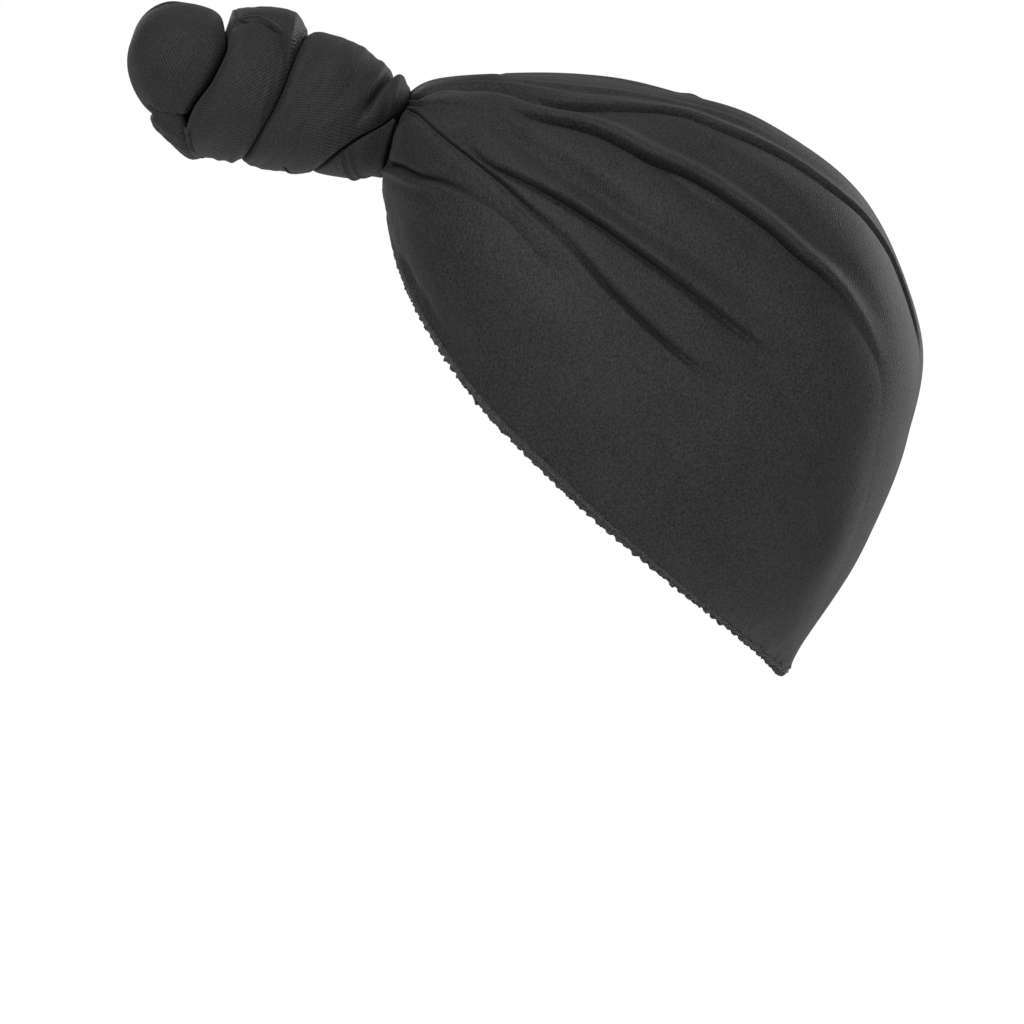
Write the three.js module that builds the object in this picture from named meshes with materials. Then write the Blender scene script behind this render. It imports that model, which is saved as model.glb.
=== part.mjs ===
// A pre-tied turban cap in black stretch knit: a close cap gathered into a wound knot above the brow.
// Millimetres. +Z is up, the front of the wrap faces -Y and its left side faces +X.
// The origin is the point inside the crown where the top of a head meets the cloth.
import * as THREE from "three";

const CLOTH_WALL = 1.8; // doubled jersey with the air held between its gathers
const PIECE_GAP = 0.35; // air kept between pieces that touch in the cloth

// The cap is a row of half ellipses that start at the crown line and end at the hem, fanned from the
// knot round to the nape. crown and hem are points in the side plane (y forward is negative, z up),
// wide is the section's greatest half width and hemX the half width where it meets the hem.
const SECTIONS = [
  { crownY: -64.2, crownZ: -7.1, hemY: -71.2, hemZ: -28.0, wide: 10.8, hemX: 0.5 },
  { crownY: -61.2, crownZ: -2.8, hemY: -71.3, hemZ: -33.0, wide: 16.0, hemX: 0.6 },
  { crownY: -52.8, crownZ: 0.8, hemY: -70.6, hemZ: -40.5, wide: 27.0, hemX: 9.0 },
  { crownY: -33.0, crownZ: 2.2, hemY: -66.1, hemZ: -59.5, wide: 46.0, hemX: 27.0 },
  { crownY: -6.6, crownZ: 1.7, hemY: -55.9, hemZ: -80.1, wide: 61.0, hemX: 44.0 },
  { crownY: 22.8, crownZ: -3.2, hemY: -38.7, hemZ: -103.7, wide: 71.0, hemX: 59.0 },
  { crownY: 55.7, crownZ: -14.4, hemY: -18.9, hemZ: -123.6, wide: 76.0, hemX: 68.0 },
  { crownY: 87.4, crownZ: -39.1, hemY: -0.7, hemZ: -140.5, wide: 77.5, hemX: 70.5 },
  { crownY: 105.4, crownZ: -82.0, hemY: 14.7, hemZ: -153.8, wide: 76.0, hemX: 68.5 },
  { crownY: 101.3, crownZ: -116.4, hemY: 30.4, hemZ: -167.1, wide: 69.0, hemX: 61.0 },
  { crownY: 90.1, crownZ: -145.7, hemY: 44.0, hemZ: -178.1, wide: 57.0, hemX: 49.0 },
  { crownY: 76.8, crownZ: -168.8, hemY: 53.9, hemZ: -186.3, wide: 40.0, hemX: 34.0 },
  { crownY: 66.3, crownZ: -184.6, hemY: 60.2, hemZ: -191.6, wide: 20.0, hemX: 18.0 },
  { crownY: 62.8, crownZ: -192.2, hemY: 62.7, hemZ: -192.5, wide: 0.6, hemX: 0.5 },
];

// The pleats that fan back from the knot, from the crown down. at is where each crease runs, as a
// share of the way from crown line to hem, at the sections numbered in FOLD_STOPS. ridge, crease
// and dip are the standing fold above the crease, the crease itself and the soft hollow above the
// ridge. lip is a roll below the crease, where a front lobe laps over the pleat above it. The
// fold comes in and dies away between the section numbers in comes and goes.
const FOLD_STOPS = [1, 2.5, 4, 5.5, 7, 8.5];
const FOLDS = [
  { at: [0.08, 0.15, 0.25, 0.205, 0.13, 0.06], ridge: 2.0, crease: 1.2, dip: 0.5, lip: 0.6,
    comes: [1.2, 2.4], goes: [7.0, 8.6] },
  { at: [0.12, 0.3, 0.345, 0.378, 0.37, 0.3], ridge: 2.5, crease: 1.6, dip: 1.0, lip: 0,
    comes: [2.9, 4.0], goes: [7.2, 8.8] },
  { at: [0.17, 0.44, 0.541, 0.565, 0.56, 0.52], ridge: 2.7, crease: 2.0, dip: 1.2, lip: 0,
    comes: [2.3, 3.4], goes: [6.6, 8.1] },
  { at: [0.22, 0.475, 0.572, 0.64, 0.66, 0.65], ridge: 1.6, crease: 1.2, dip: 0.6, lip: 2.4,
    comes: [3.2, 4.4], goes: [6.4, 7.8] },
  { at: [0.74, 0.665, 0.655, 0.74, 0.79, 0.8], ridge: 0, crease: 0.8, dip: 0, lip: 1.8,
    comes: [3.0, 4.0], goes: [3.4, 4.8] },
];
// How proud each panel between two creases stands at the same stops, from the crown roll down.
const PANEL_SWELL = [
  [0.6, 1.2, 1.6, 1.6, 1.0, 0.2],
  [0.3, 0.8, 1.8, 1.8, 1.2, 0.2],
  [0.2, 0.6, 1.8, 2.2, 1.6, 0.2],
  [0.2, 0.2, 0.8, 1.2, 0.8, 0.1],
  [1.6, 3.0, 1.6, 0.8, 0.4, 0.0],
  [1.0, 1.4, 0.8, 0.4, 0.2, 0.0],
];
// A pleat's own profile: distances from its crease and half widths. It shrinks where the panel
// beside it is narrower than PLEAT_ROOM.
const PLEAT_ROOM = 12;
const RIDGE_AWAY = 2.2;
const RIDGE_WIDE = 1.7;
const HOLLOW_AWAY = 7;
const HOLLOW_WIDE = 3;
const CREASE_WIDE = 1.2;
const LIP_AWAY = 2.8;
const LIP_WIDE = 2.2;
// Section numbers between which the front lobes and the folds as a whole begin and end.
const LOBES = { comes: [0.4, 1.2], goes: [3.0, 4.4] };
const ALL_FOLDS = { comes: [0, 1.4], goes: [11.5, 13] };
const FAR_SIDE_SHIFT = 0.018; // the right side's pleats lie a little lower than the left side's
const FAR_SIDE_SHARE = 0.88; // and stand a little less proud

const CAP_ROWS = 34; // rows of the cap's grid from knot to nape
const PANEL_STEPS = [2, 1, 3, 1, 1, 3]; // plain grid steps across each panel, crown to hem
const HEM_HOLLOW = 0.3; // shares of the last panel's width where it dips and rises beside the hem
const HEM_RIDGE = 0.12;

const HEM_WIDTH = 3.6; // overlocked band, from its inner thread line to the ruffled edge
const HEM_THICK = 1.7; // the edge is rolled and bound, so it is fatter than the cloth
const HEM_FROM = 1.55; // the section where the band comes out from under the knot
const HEM_FADE = 12; // over this length at each end it thins and turns under
const HEM_SAMPLES = 700;
const RUFFLE_PITCH = 4.2; // one wave of the stretched edge
const RUFFLE_SWING = 0.55; // how far a wave stands in and out
const RUFFLE_ROOT = 0.15; // share of the swing left at the seam with the cap

// The knot is wound on a line that leaves the brow forwards and up. along is measured from its
// foot, lift is how far the middle of the winding lies above the straight line and round is its
// outer radius there.
const KNOT_FOOT = { y: -66.3, z: -18.0 };
const KNOT_RISE_DEG = 18.5;
const KNOT_START = 2.9;
const WINDING = [
  { along: 0, lift: 0.5, round: 16.9 },
  { along: 4, lift: 1.7, round: 17.8 },
  { along: 10, lift: 1.3, round: 20 },
  { along: 16, lift: 1.8, round: 21.8 },
  { along: 22, lift: 2.5, round: 23.4 },
  { along: 30, lift: 2.2, round: 23.8 },
  { along: 38, lift: 1.1, round: 24.1 },
  { along: 48, lift: 0.6, round: 25 },
  { along: 56, lift: 0.1, round: 25.4 },
  { along: 64, lift: -1.0, round: 25.4 },
  { along: 72, lift: 1.2, round: 22.4 },
  { along: 80, lift: 2.6, round: 20 },
  { along: 88, lift: 3.8, round: 18 },
  { along: 96, lift: 5.2, round: 16 },
];
// The groove between one turn and the next. turn is the angle wound since the top of the first
// turn, towards the left side, in degrees, and along is where the groove crosses.
const GROOVE = [
  { turn: -60, along: KNOT_START },
  { turn: 60, along: KNOT_START },
  { turn: 84, along: 6.4 },
  { turn: 105, along: 12.4 },
  { turn: 130, along: 18.0 },
  { turn: 180, along: 24.6 },
  { turn: 270, along: 32.0 },
  { turn: 360, along: 39.6 },
  { turn: 410, along: 40.8 },
  { turn: 450, along: 41.4 },
  { turn: 495, along: 44.4 },
  { turn: 540, along: 47.2 },
  { turn: 630, along: 57.0 },
  { turn: 720, along: 66.8 },
  { turn: 770, along: 65.3 },
  { turn: 810, along: 66.0 },
  { turn: 850, along: 68.0 },
  { turn: 900, along: 67.7 },
  { turn: 990, along: 70.0 },
  { turn: 1060, along: 71.0 },
];
const TURN_STEP = 15; // degrees between two sections of the winding
const STRAND_FROM = -60;
const STRAND_TO = 690;
const STRAND_EDGE = 5.2; // radius at which a turn rolls under at its two edges
const STRAND_WALL = 0.8; // least cloth left between a rolled edge and the middle
const STRAND_ACROSS = [0, 0.03, 0.1, 0.24, 0.5, 0.76, 0.9, 0.97, 1];
// The crease that splits a small lobe off the first turn where it meets the crown.
const ROOT_CREASE = { deep: 1.8, wide: 2.2, along: 8.3, perDegree: 0.07, middle: 20, full: 40, none: 75 };

const CORE_ROUND = 8.2; // the bunched cloth in the middle
const CORE_HOLE = 9.6; // the hole that the winding leaves for it
const CORE_STOPS = [-5, -3, 0, 8, 20, 34, 48, 60, 64];
const CORE_FLUTES = 8;
const FLUTE_SHARE = 0.9;
const CORE_END_SHARE = 0.75;

const UNDER_FROM = -285; // where the first turn starts, in degrees before the strand's top
const UNDER_ACROSS = [0, 0.05, 0.2, 0.5, 0.8, 0.95, 1];
const UNDER_BELOW = 0.3; // how much tighter than the next turns it lies
const UNDER_ROLL = 2.4;

// A flap of the strand that lies over the top of the second coil, thick in the middle. reach is how
// far its near edge comes down the left side, in degrees, at each line w across the strand.
const FLAP = [
  { w: 0.08, reach: 46, thick: 1.2 },
  { w: 0.16, reach: 34, thick: 2.2 },
  { w: 0.32, reach: 20, thick: 2.6 },
  { w: 0.5, reach: 14, thick: 2.2 },
  { w: 0.68, reach: 18, thick: 1.8 },
  { w: 0.84, reach: 26, thick: 1.4 },
  { w: 0.95, reach: 32, thick: 1.0 },
];
const FLAP_GAP = 0.8;
const FLAP_EDGE = 0.4; // thickness where its rim is drawn down
const FLAP_FAR = -75;
const FLAP_STEPS = 9;

const TIP_END = 94.4;
const TIP_ROUND = 18.9;
const TIP_STATIONS = [0, 0.04, 0.12, 0.25, 0.42, 0.6, 0.76, 0.89, 0.97];
const TIP_WIDEST = 0.4; // share of the bulb's length at its widest
const TIP_SIDES = 20;
const TIP_LEAST = 1.2;

// A short roll round the underside of the tip: its two ends in degrees, where its middle lies and
// its half width and half thickness.
const TUCK = { from: 118, to: 242, along: 73.9, out: 22.9, wide: 6.0, thick: 3.4 };
const TUCK_STEPS = 10;
const TUCK_SIDES = 8;

const KNIT_BLACK = { roughness: 0.86, metalness: 0 };

function clamp(x, low, high) {
  return Math.min(high, Math.max(low, x));
}

// 0 below a, 1 above b, easing in between.
function ease(a, b, x) {
  const s = clamp((x - a) / (b - a), 0, 1);
  return s * s * (3 - 2 * s);
}

function bell(x, width) {
  return Math.exp(-((x / width) ** 2));
}

// 1 between two stretches of section numbers, 0 outside them.
function between({ comes, goes }, k) {
  return ease(...comes, k) * (1 - ease(...goes, k));
}

// A smooth curve through evenly spaced values, read at row number x.
function through(values, x) {
  const last = values.length - 1;
  const i = clamp(Math.floor(x), 0, last - 1);
  const f = clamp(x - i, 0, 1);
  const p0 = values[Math.max(i - 1, 0)];
  const p1 = values[i];
  const p2 = values[i + 1];
  const p3 = values[Math.min(i + 2, last)];
  const bend = 2 * p0 - 5 * p1 + 4 * p2 - p3;
  const twist = 3 * p1 - p0 - 3 * p2 + p3;
  return 0.5 * (2 * p1 + (p2 - p0) * f + bend * f * f + twist * f * f * f);
}

// Straight lines between the rows of a table whose key column rises.
function along(table, key, value, x) {
  let i = 0;
  while (i < table.length - 2 && table[i + 1][key] < x) i += 1;
  const f = clamp((x - table[i][key]) / (table[i + 1][key] - table[i][key]), 0, 1);
  return table[i][value] + (table[i + 1][value] - table[i][value]) * f;
}

// A row of values given at FOLD_STOPS, read at section k.
function atStop(values, k) {
  const first = FOLD_STOPS[0];
  const step = FOLD_STOPS[1] - first;
  return through(values, (clamp(k, first, FOLD_STOPS.at(-1)) - first) / step);
}

// The smooth form under the folds at section k: a half ellipse about middle, wide across and tall
// along the direction up, that turns through the angle turn from the crown line to the hem.
function section(k) {
  const read = (name) => through(SECTIONS.map((row) => row[name]), k);
  const crown = new THREE.Vector2(read("crownY"), read("crownZ"));
  const hem = new THREE.Vector2(read("hemY"), read("hemZ"));
  const wide = Math.max(read("wide"), 0.1);
  const hemX = clamp(read("hemX"), 0.05, wide * 0.999);
  const drop = crown.distanceTo(hem);
  const up = crown.clone().sub(hem).normalize();
  const turn = Math.PI - Math.asin(hemX / wide);
  const tall = drop / (1 - Math.cos(turn));
  const middle = crown.clone().addScaledVector(up, -tall);
  const arc = turn * Math.sqrt((wide * wide + tall * tall) / 2);
  return { up, turn, tall, wide, middle, arc };
}

// A point of the smooth form, share t of the way from crown to hem. A negative t is the right side.
function formPoint(k, t) {
  const { up, turn, tall, wide, middle } = section(k);
  const across = tall * Math.cos(turn * t);
  return new THREE.Vector3(
    wide * Math.sin(turn * t),
    middle.x + across * up.x,
    middle.y + across * up.y,
  );
}

function formNormal(k, t) {
  const dk = 0.02;
  const dt = 0.004;
  const inside = clamp(k, dk, SECTIONS.length - 1.07);
  const alongK = formPoint(inside + dk, t).sub(formPoint(inside - dk, t));
  const alongT = formPoint(inside, t + dt).sub(formPoint(inside, t - dt));
  return alongT.cross(alongK).normalize();
}

function creaseAt(fold, k, side) {
  return atStop(fold.at, k) + (side < 0 ? FAR_SIDE_SHIFT * ease(1, 3, k) : 0);
}

// How far the cloth stands off the smooth form.
function foldHeight(k, t) {
  const side = t < 0 ? -1 : 1;
  const { arc } = section(k);
  const creases = FOLDS.map((fold) => creaseAt(fold, k, side));
  const bounds = [-creases[0], ...creases, 1];
  const where = Math.abs(t);
  let panel = 0;
  while (panel < PANEL_SWELL.length - 1 && where > bounds[panel + 1]) panel += 1;
  const q = clamp((where - bounds[panel]) / (bounds[panel + 1] - bounds[panel]), 0, 1);
  let height = atStop(PANEL_SWELL[panel], k) * Math.sin(Math.PI * q) ** 0.8;
  FOLDS.forEach((fold, i) => {
    const away = (creases[i] - where) * arc;
    const room = clamp(((bounds[i + 1] - bounds[i]) * arc) / PLEAT_ROOM, 0.25, 1);
    const stands = between(fold, k);
    const laps = between(LOBES, k);
    height += stands * fold.ridge * bell(away - RIDGE_AWAY * room, RIDGE_WIDE * room);
    height -= stands * fold.dip * bell(away - HOLLOW_AWAY * room, HOLLOW_WIDE * room);
    height -= Math.max(stands, laps) * fold.crease * bell(away, CREASE_WIDE * room);
    height += laps * fold.lip * bell(away + LIP_AWAY * room, LIP_WIDE * room);
  });
  return height * between(ALL_FOLDS, k) * (side < 0 ? FAR_SIDE_SHARE : 1);
}

// Grid lines follow the creases: each panel has a line below its upper crease, then lines spread
// to the hollow and the ridge above its lower crease.
function columns(k, side) {
  const { arc } = section(k);
  const ends = [...FOLDS.map((fold) => creaseAt(fold, k, side)), 1];
  const places = [0];
  let start = 0;
  ends.forEach((end, panel) => {
    const width = (end - start) * arc;
    const room = clamp(width / PLEAT_ROOM, 0.2, 1);
    const isLast = panel === ends.length - 1;
    const low = panel === 0 ? 0 : LIP_AWAY * room;
    const hollow = width - (isLast ? width * HEM_HOLLOW : HOLLOW_AWAY * room * 0.93);
    const ridge = width - (isLast ? width * HEM_RIDGE : RIDGE_AWAY * room);
    const steps = PANEL_STEPS[panel];
    if (panel > 0) places.push(start + low / arc);
    for (let i = 1; i <= steps; i += 1) {
      places.push(start + (low + ((hollow - low) * i) / steps) / arc);
    }
    places.push(start + ridge / arc, end);
    start = end;
  });
  return places;
}

function capGrid() {
  const rows = [];
  for (let i = 0; i < CAP_ROWS; i += 1) {
    const k = ((SECTIONS.length - 1) * i) / (CAP_ROWS - 1);
    const right = columns(k, -1).slice(1).reverse().map((t) => -t);
    rows.push([...right, ...columns(k, 1)].map((t) => ({ k, t })));
  }
  return rows;
}

// A closed wall: an outer grid, an inner grid on every second line, and rims. The last row of
// each grid is drawn together into one point at the nape.
function wallMesh(grid, place) {
  const points = [];
  const faces = [];
  const quad = (a, b, c, d) => faces.push([a, b, c], [a, c, d]);
  const add = (k, t, inside) => points.push(place(k, t, inside)) - 1;
  const open = grid.slice(0, -1);
  const outer = open.map((row) => row.map(({ k, t }) => add(k, t, 0)));
  const every2nd = open.map((row) => row.filter((_, j) => j % 2 === 0));
  const inner = every2nd.map((row) => row.map(({ k, t }) => add(k, t, 1)));
  const outTip = add(grid.at(-1)[0].k, 0, 0);
  const inTip = add(grid.at(-1)[0].k, 0, 1);
  const sheet = (rows, tip, flip) => {
    for (let i = 0; i < rows.length; i += 1)
      for (let j = 0; j < rows[i].length - 1; j += 1) {
        const [a, b] = [rows[i][j], rows[i][j + 1]];
        if (i === rows.length - 1) {
          faces.push(flip ? [tip, b, a] : [a, b, tip]);
          continue;
        }
        const [c, d] = [rows[i + 1][j + 1], rows[i + 1][j]];
        if (flip) quad(d, c, b, a);
        else quad(a, b, c, d);
      }
  };
  sheet(outer, outTip, false);
  sheet(inner, inTip, true);
  for (let j = 0; j < inner[0].length - 1; j += 1) {
    const [a, b, c] = outer[0].slice(2 * j, 2 * j + 3);
    const [d, e] = inner[0].slice(j, j + 2);
    faces.push([d, b, a], [d, e, b], [e, c, b]);
  }
  const outEdge = (i, j) => (i < outer.length ? outer[i].at(j) : outTip);
  const inEdge = (i, j) => (i < inner.length ? inner[i].at(j) : inTip);
  for (let i = 0; i < outer.length; i += 1) {
    quad(outEdge(i, 0), outEdge(i + 1, 0), inEdge(i + 1, 0), inEdge(i, 0));
    quad(inEdge(i, -1), inEdge(i + 1, -1), outEdge(i + 1, -1), outEdge(i, -1));
  }
  return { points, faces };
}

// Sections of equal count carried along a path and closed at both ends, with a fan of faces, or
// for a bent flap with a ladder from its lower to its upper line.
function sweepMesh(rings, laddered = false) {
  const points = rings.flat();
  const n = rings[0].length;
  const faces = [];
  for (let i = 0; i < rings.length - 1; i += 1)
    for (let j = 0; j < n; j += 1) {
      const a = i * n + j;
      const b = i * n + ((j + 1) % n);
      faces.push([a, b, b + n], [a, b + n, a + n]);
    }
  const ladder = (first, flip) => {
    for (let j = 0; j < n / 2 - 1; j += 1) {
      const [a, b, c, d] = [first + j, first + j + 1, first + n - 2 - j, first + n - 1 - j];
      if (flip) faces.push([c, b, a], [d, c, a]);
      else faces.push([a, b, c], [a, c, d]);
    }
  };
  const fan = (ring, first, flip) => {
    const middle = new THREE.Vector3();
    ring.forEach((p) => middle.addScaledVector(p, 1 / n));
    const centre = points.push(middle) - 1;
    for (let j = 0; j < n; j += 1) {
      const a = first + j;
      const b = first + ((j + 1) % n);
      faces.push(flip ? [centre, b, a] : [centre, a, b]);
    }
  };
  const lastFirst = (rings.length - 1) * n;
  if (laddered) {
    ladder(0, true);
    ladder(lastFirst, false);
  } else {
    fan(rings[0], 0, true);
    fan(rings.at(-1), lastFirst, false);
  }
  return { points, faces };
}

function volumeOf({ points, faces }) {
  return faces.reduce((sum, [a, b, c]) => {
    const turned = new THREE.Vector3().crossVectors(points[b], points[c]);
    return sum + points[a].dot(turned) / 6;
  }, 0);
}

// A named mesh whose faces all point out.
function meshOf(name, shape, colour) {
  const turnedIn = volumeOf(shape) < 0;
  const order = shape.faces.map(([a, b, c]) => (turnedIn ? [c, b, a] : [a, b, c]));
  const geometry = new THREE.BufferGeometry().setFromPoints(shape.points);
  geometry.setIndex(order.flat());
  geometry.computeVertexNormals();
  const material = new THREE.MeshStandardMaterial({ color: colour, ...KNIT_BLACK });
  const mesh = new THREE.Mesh(geometry, material);
  mesh.name = name;
  return mesh;
}

function gatheredCap() {
  const place = (k, t, inside) => {
    const wall = inside * CLOTH_WALL;
    return formPoint(k, t).addScaledVector(formNormal(k, t), foldHeight(k, t) - wall);
  };
  return wallMesh(capGrid(), place);
}

// The hem line from one side of the knot round the nape to the other.
function hemPath() {
  const last = SECTIONS.length - 1;
  const path = [];
  let reach = 0;
  for (let i = -HEM_SAMPLES; i <= HEM_SAMPLES; i += 1) {
    const t = i < 0 ? -1 : 1;
    const k = last - (Math.abs(i) / HEM_SAMPLES) ** 2 * (last - HEM_FROM);
    const point = formPoint(k, t);
    if (path.length) reach += point.distanceTo(path.at(-1).point);
    path.push({ k, t, point, reach });
  }
  return path;
}

// The bound edge: a flat section of four sides carried along the hem, swinging in and out as a
// stretched edge does.
function edgeOverlock() {
  const sides = 4;
  const path = hemPath();
  const length = path.at(-1).reach;
  const steps = 2 * Math.round(length / RUFFLE_PITCH);
  const rings = [];
  let i = 0;
  for (let step = 0; step <= steps; step += 1) {
    const goal = (length * step) / steps;
    while (i < path.length - 2 && path[i + 1].reach < goal) i += 1;
    const [here, next] = [path[i], path[i + 1]];
    const at = here.point.clone().lerp(next.point, (goal - here.reach) / (next.reach - here.reach));
    const ahead = next.point.clone().sub(here.point).normalize();
    const out = formNormal(here.k, here.t);
    const down = new THREE.Vector3().crossVectors(out, ahead).normalize();
    const swing = (step % 2 ? 1 : -1) * RUFFLE_SWING;
    const full = ease(0, HEM_FADE, goal) * ease(0, HEM_FADE, length - goal);
    at.addScaledVector(out, -CLOTH_WALL / 2 - (1 - full) * CLOTH_WALL);
    at.addScaledVector(down, PIECE_GAP + HEM_WIDTH / 2);
    const ring = [];
    for (let s = 0; s < sides; s += 1) {
      const turn = (2 * Math.PI * s) / sides;
      const width = (Math.cos(turn) * HEM_WIDTH) / 2;
      const wave = swing * (width > 0 ? 1 : RUFFLE_ROOT);
      const thick = ((Math.sin(turn) * HEM_THICK) / 2 + wave) * (0.5 + full / 2);
      ring.push(at.clone().addScaledVector(down, width).addScaledVector(out, thick));
    }
    rings.push(ring);
  }
  return sweepMesh(rings);
}

// A point of the knot: along its line, turned from the top towards the left side, out from the
// middle of the winding.
function knotPoint(s, degrees, out) {
  const rise = THREE.MathUtils.degToRad(KNOT_RISE_DEG);
  const turn = THREE.MathUtils.degToRad(degrees);
  const lift = along(WINDING, "along", "lift", s) + out * Math.cos(turn);
  return new THREE.Vector3(
    out * Math.sin(turn),
    KNOT_FOOT.y - s * Math.cos(rise) + lift * Math.sin(rise),
    KNOT_FOOT.z + s * Math.sin(rise) + lift * Math.cos(rise),
  );
}

function knotRound(s) {
  return along(WINDING, "along", "round", s);
}

function grooveAt(turn) {
  return along(GROOVE, "turn", "along", turn);
}

// Outer radius of the strand at a turn angle and share w of the way across its width: full in the
// middle, rolling under at both edges.
function strandOut(turn, w) {
  const from = grooveAt(turn) + PIECE_GAP / 2;
  const to = grooveAt(turn + 360) - PIECE_GAP / 2;
  const s = from + (to - from) * w;
  const inFromEdge = clamp(Math.min(s - from, to - s) / STRAND_EDGE, 0, 1);
  const roll = STRAND_EDGE * (1 - Math.sqrt(1 - (1 - inFromEdge) ** 2));
  const { deep, wide, along: start, perDegree, middle, full, none } = ROOT_CREASE;
  const nearTop = ease(none, full, Math.abs(turn - middle));
  const crease = deep * bell(s - start - turn * perDegree, wide) * nearTop;
  return { s, out: knotRound(s) - roll - crease };
}

function strandRing(turn) {
  const ring = STRAND_ACROSS.map((w) => {
    const { s, out } = strandOut(turn, w);
    return knotPoint(s, turn, Math.max(out, CORE_HOLE + STRAND_WALL));
  });
  ring.push(knotPoint(strandOut(turn, 1).s, turn, CORE_HOLE));
  ring.push(knotPoint(strandOut(turn, 0).s, turn, CORE_HOLE));
  return ring;
}

function woundStrand() {
  const rings = [];
  for (let turn = STRAND_FROM; turn <= STRAND_TO; turn += TURN_STEP) rings.push(strandRing(turn));
  return sweepMesh(rings);
}

// The first turn, pulled tight round the knot's foot and half hidden by the turn after it.
function underWrap() {
  const rings = [];
  for (let turn = UNDER_FROM; turn < STRAND_FROM; turn += TURN_STEP) {
    const far = Math.max(grooveAt(turn + 360) - 3 * PIECE_GAP, KNOT_START + 1);
    const ring = UNDER_ACROSS.map((w) => {
      const s = KNOT_START + (far - KNOT_START) * w;
      const roll = 1 - (1 - Math.abs(2 * w - 1) ** 6) ** 0.25;
      return knotPoint(s, turn, knotRound(s) - UNDER_BELOW - roll * UNDER_ROLL);
    });
    ring.push(knotPoint(far, turn, CORE_HOLE), knotPoint(KNOT_START, turn, CORE_HOLE));
    rings.push(ring);
  }
  return sweepMesh(rings);
}

function overStrand() {
  const rings = [];
  for (let i = 0; i <= FLAP_STEPS; i += 1) {
    const p = i / FLAP_STEPS;
    const plump = Math.sqrt(Math.max(1 - (2 * p - 1) ** 4, 0));
    const at = ({ w, reach }, above) => {
      const turn = 360 + FLAP_FAR + (reach - FLAP_FAR) * p;
      const { s, out } = strandOut(turn, w);
      return knotPoint(s, turn, out + FLAP_GAP + above);
    };
    const lower = FLAP.map((line) => at(line, 0));
    const upper = FLAP.map((line) => at(line, FLAP_EDGE + line.thick * plump));
    rings.push([...lower, ...upper.reverse()]);
  }
  return sweepMesh(rings, true);
}

// The rounded end of the knot, which starts where the last turn's groove lets it.
function tipBulb() {
  const rings = TIP_STATIONS.map((w) => {
    const ring = [];
    for (let j = 0; j < TIP_SIDES; j += 1) {
      const degrees = (360 * j) / TIP_SIDES;
      const start = grooveAt(720 + degrees) + PIECE_GAP;
      const s = start + (TIP_END - start) * w;
      const rear = w < TIP_WIDEST;
      const x = rear ? 1 - w / TIP_WIDEST : (w - TIP_WIDEST) / (1 - TIP_WIDEST);
      const power = rear ? 3 : 2.3;
      const round = TIP_ROUND * (1 - x ** power * 0.995) ** (1 / power);
      ring.push(knotPoint(s, degrees, Math.max(round, TIP_LEAST)));
    }
    return ring;
  });
  return sweepMesh(rings);
}

// The strand's last end, a short roll tucked round the underside of the tip.
function tuckedEnd() {
  const rings = [];
  for (let i = 0; i <= TUCK_STEPS; i += 1) {
    const turn = TUCK.from + ((TUCK.to - TUCK.from) * i) / TUCK_STEPS;
    const plump = 0.4 + 0.6 * Math.sqrt(Math.sin((Math.PI * i) / TUCK_STEPS));
    const ring = [];
    for (let j = 0; j < TUCK_SIDES; j += 1) {
      const a = (2 * Math.PI * j) / TUCK_SIDES;
      const s = TUCK.along + Math.cos(a) * TUCK.wide * plump;
      ring.push(knotPoint(s, turn, TUCK.out + Math.sin(a) * TUCK.thick * plump));
    }
    rings.push(ring);
  }
  return sweepMesh(rings);
}

// The cloth of the cap's front, bunched and drawn up through the middle of the knot.
function gatheredNeck() {
  const last = CORE_STOPS.length - 1;
  const rings = CORE_STOPS.map((s, i) => {
    const ends = i === 0 || i === last ? CORE_END_SHARE : 1;
    const ring = [];
    for (let j = 0; j < 2 * CORE_FLUTES; j += 1) {
      const flute = j % 2 ? FLUTE_SHARE : 1;
      ring.push(knotPoint(s, (180 * j) / CORE_FLUTES, CORE_ROUND * flute * ends));
    }
    return ring;
  });
  return sweepMesh(rings);
}

const cap = new THREE.Group();
cap.add(meshOf("gathered_cap", gatheredCap(), 0x333333));
cap.add(meshOf("edge_overlock", edgeOverlock(), 0x2b2b2b));

const knot = new THREE.Group();
knot.add(meshOf("gathered_neck", gatheredNeck(), 0x262626));
knot.add(meshOf("under_wrap", underWrap(), 0x1f1f1f));
knot.add(meshOf("wound_strand", woundStrand(), 0x3a3a3a));
knot.add(meshOf("over_strand", overStrand(), 0x343434));
knot.add(meshOf("tip_bulb", tipBulb(), 0x393939));
knot.add(meshOf("tucked_end", tuckedEnd(), 0x2f2f2f));

const turban = new THREE.Group();
turban.add(cap);
turban.add(knot);

export default turban;
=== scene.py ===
# A pre-tied turban cap in black stretch knit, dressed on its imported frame.
import math

import bpy
import numpy as np
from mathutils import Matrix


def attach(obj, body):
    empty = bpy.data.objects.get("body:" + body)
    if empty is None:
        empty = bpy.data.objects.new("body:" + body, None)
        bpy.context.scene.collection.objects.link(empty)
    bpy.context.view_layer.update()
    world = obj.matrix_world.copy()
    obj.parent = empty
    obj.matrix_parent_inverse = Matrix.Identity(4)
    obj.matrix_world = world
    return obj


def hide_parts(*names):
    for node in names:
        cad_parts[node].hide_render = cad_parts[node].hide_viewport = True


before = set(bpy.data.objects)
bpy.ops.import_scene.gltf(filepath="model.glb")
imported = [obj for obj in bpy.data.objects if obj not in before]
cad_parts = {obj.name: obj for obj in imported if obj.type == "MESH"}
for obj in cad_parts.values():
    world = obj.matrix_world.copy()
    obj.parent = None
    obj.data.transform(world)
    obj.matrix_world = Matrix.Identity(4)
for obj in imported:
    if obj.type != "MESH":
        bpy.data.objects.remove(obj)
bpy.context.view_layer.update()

MM = 0.001  # tables are in millimetres, meshes in metres
PHOTO_SIDE = 1024  # px
MM_PER_PX = 0.33
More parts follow.
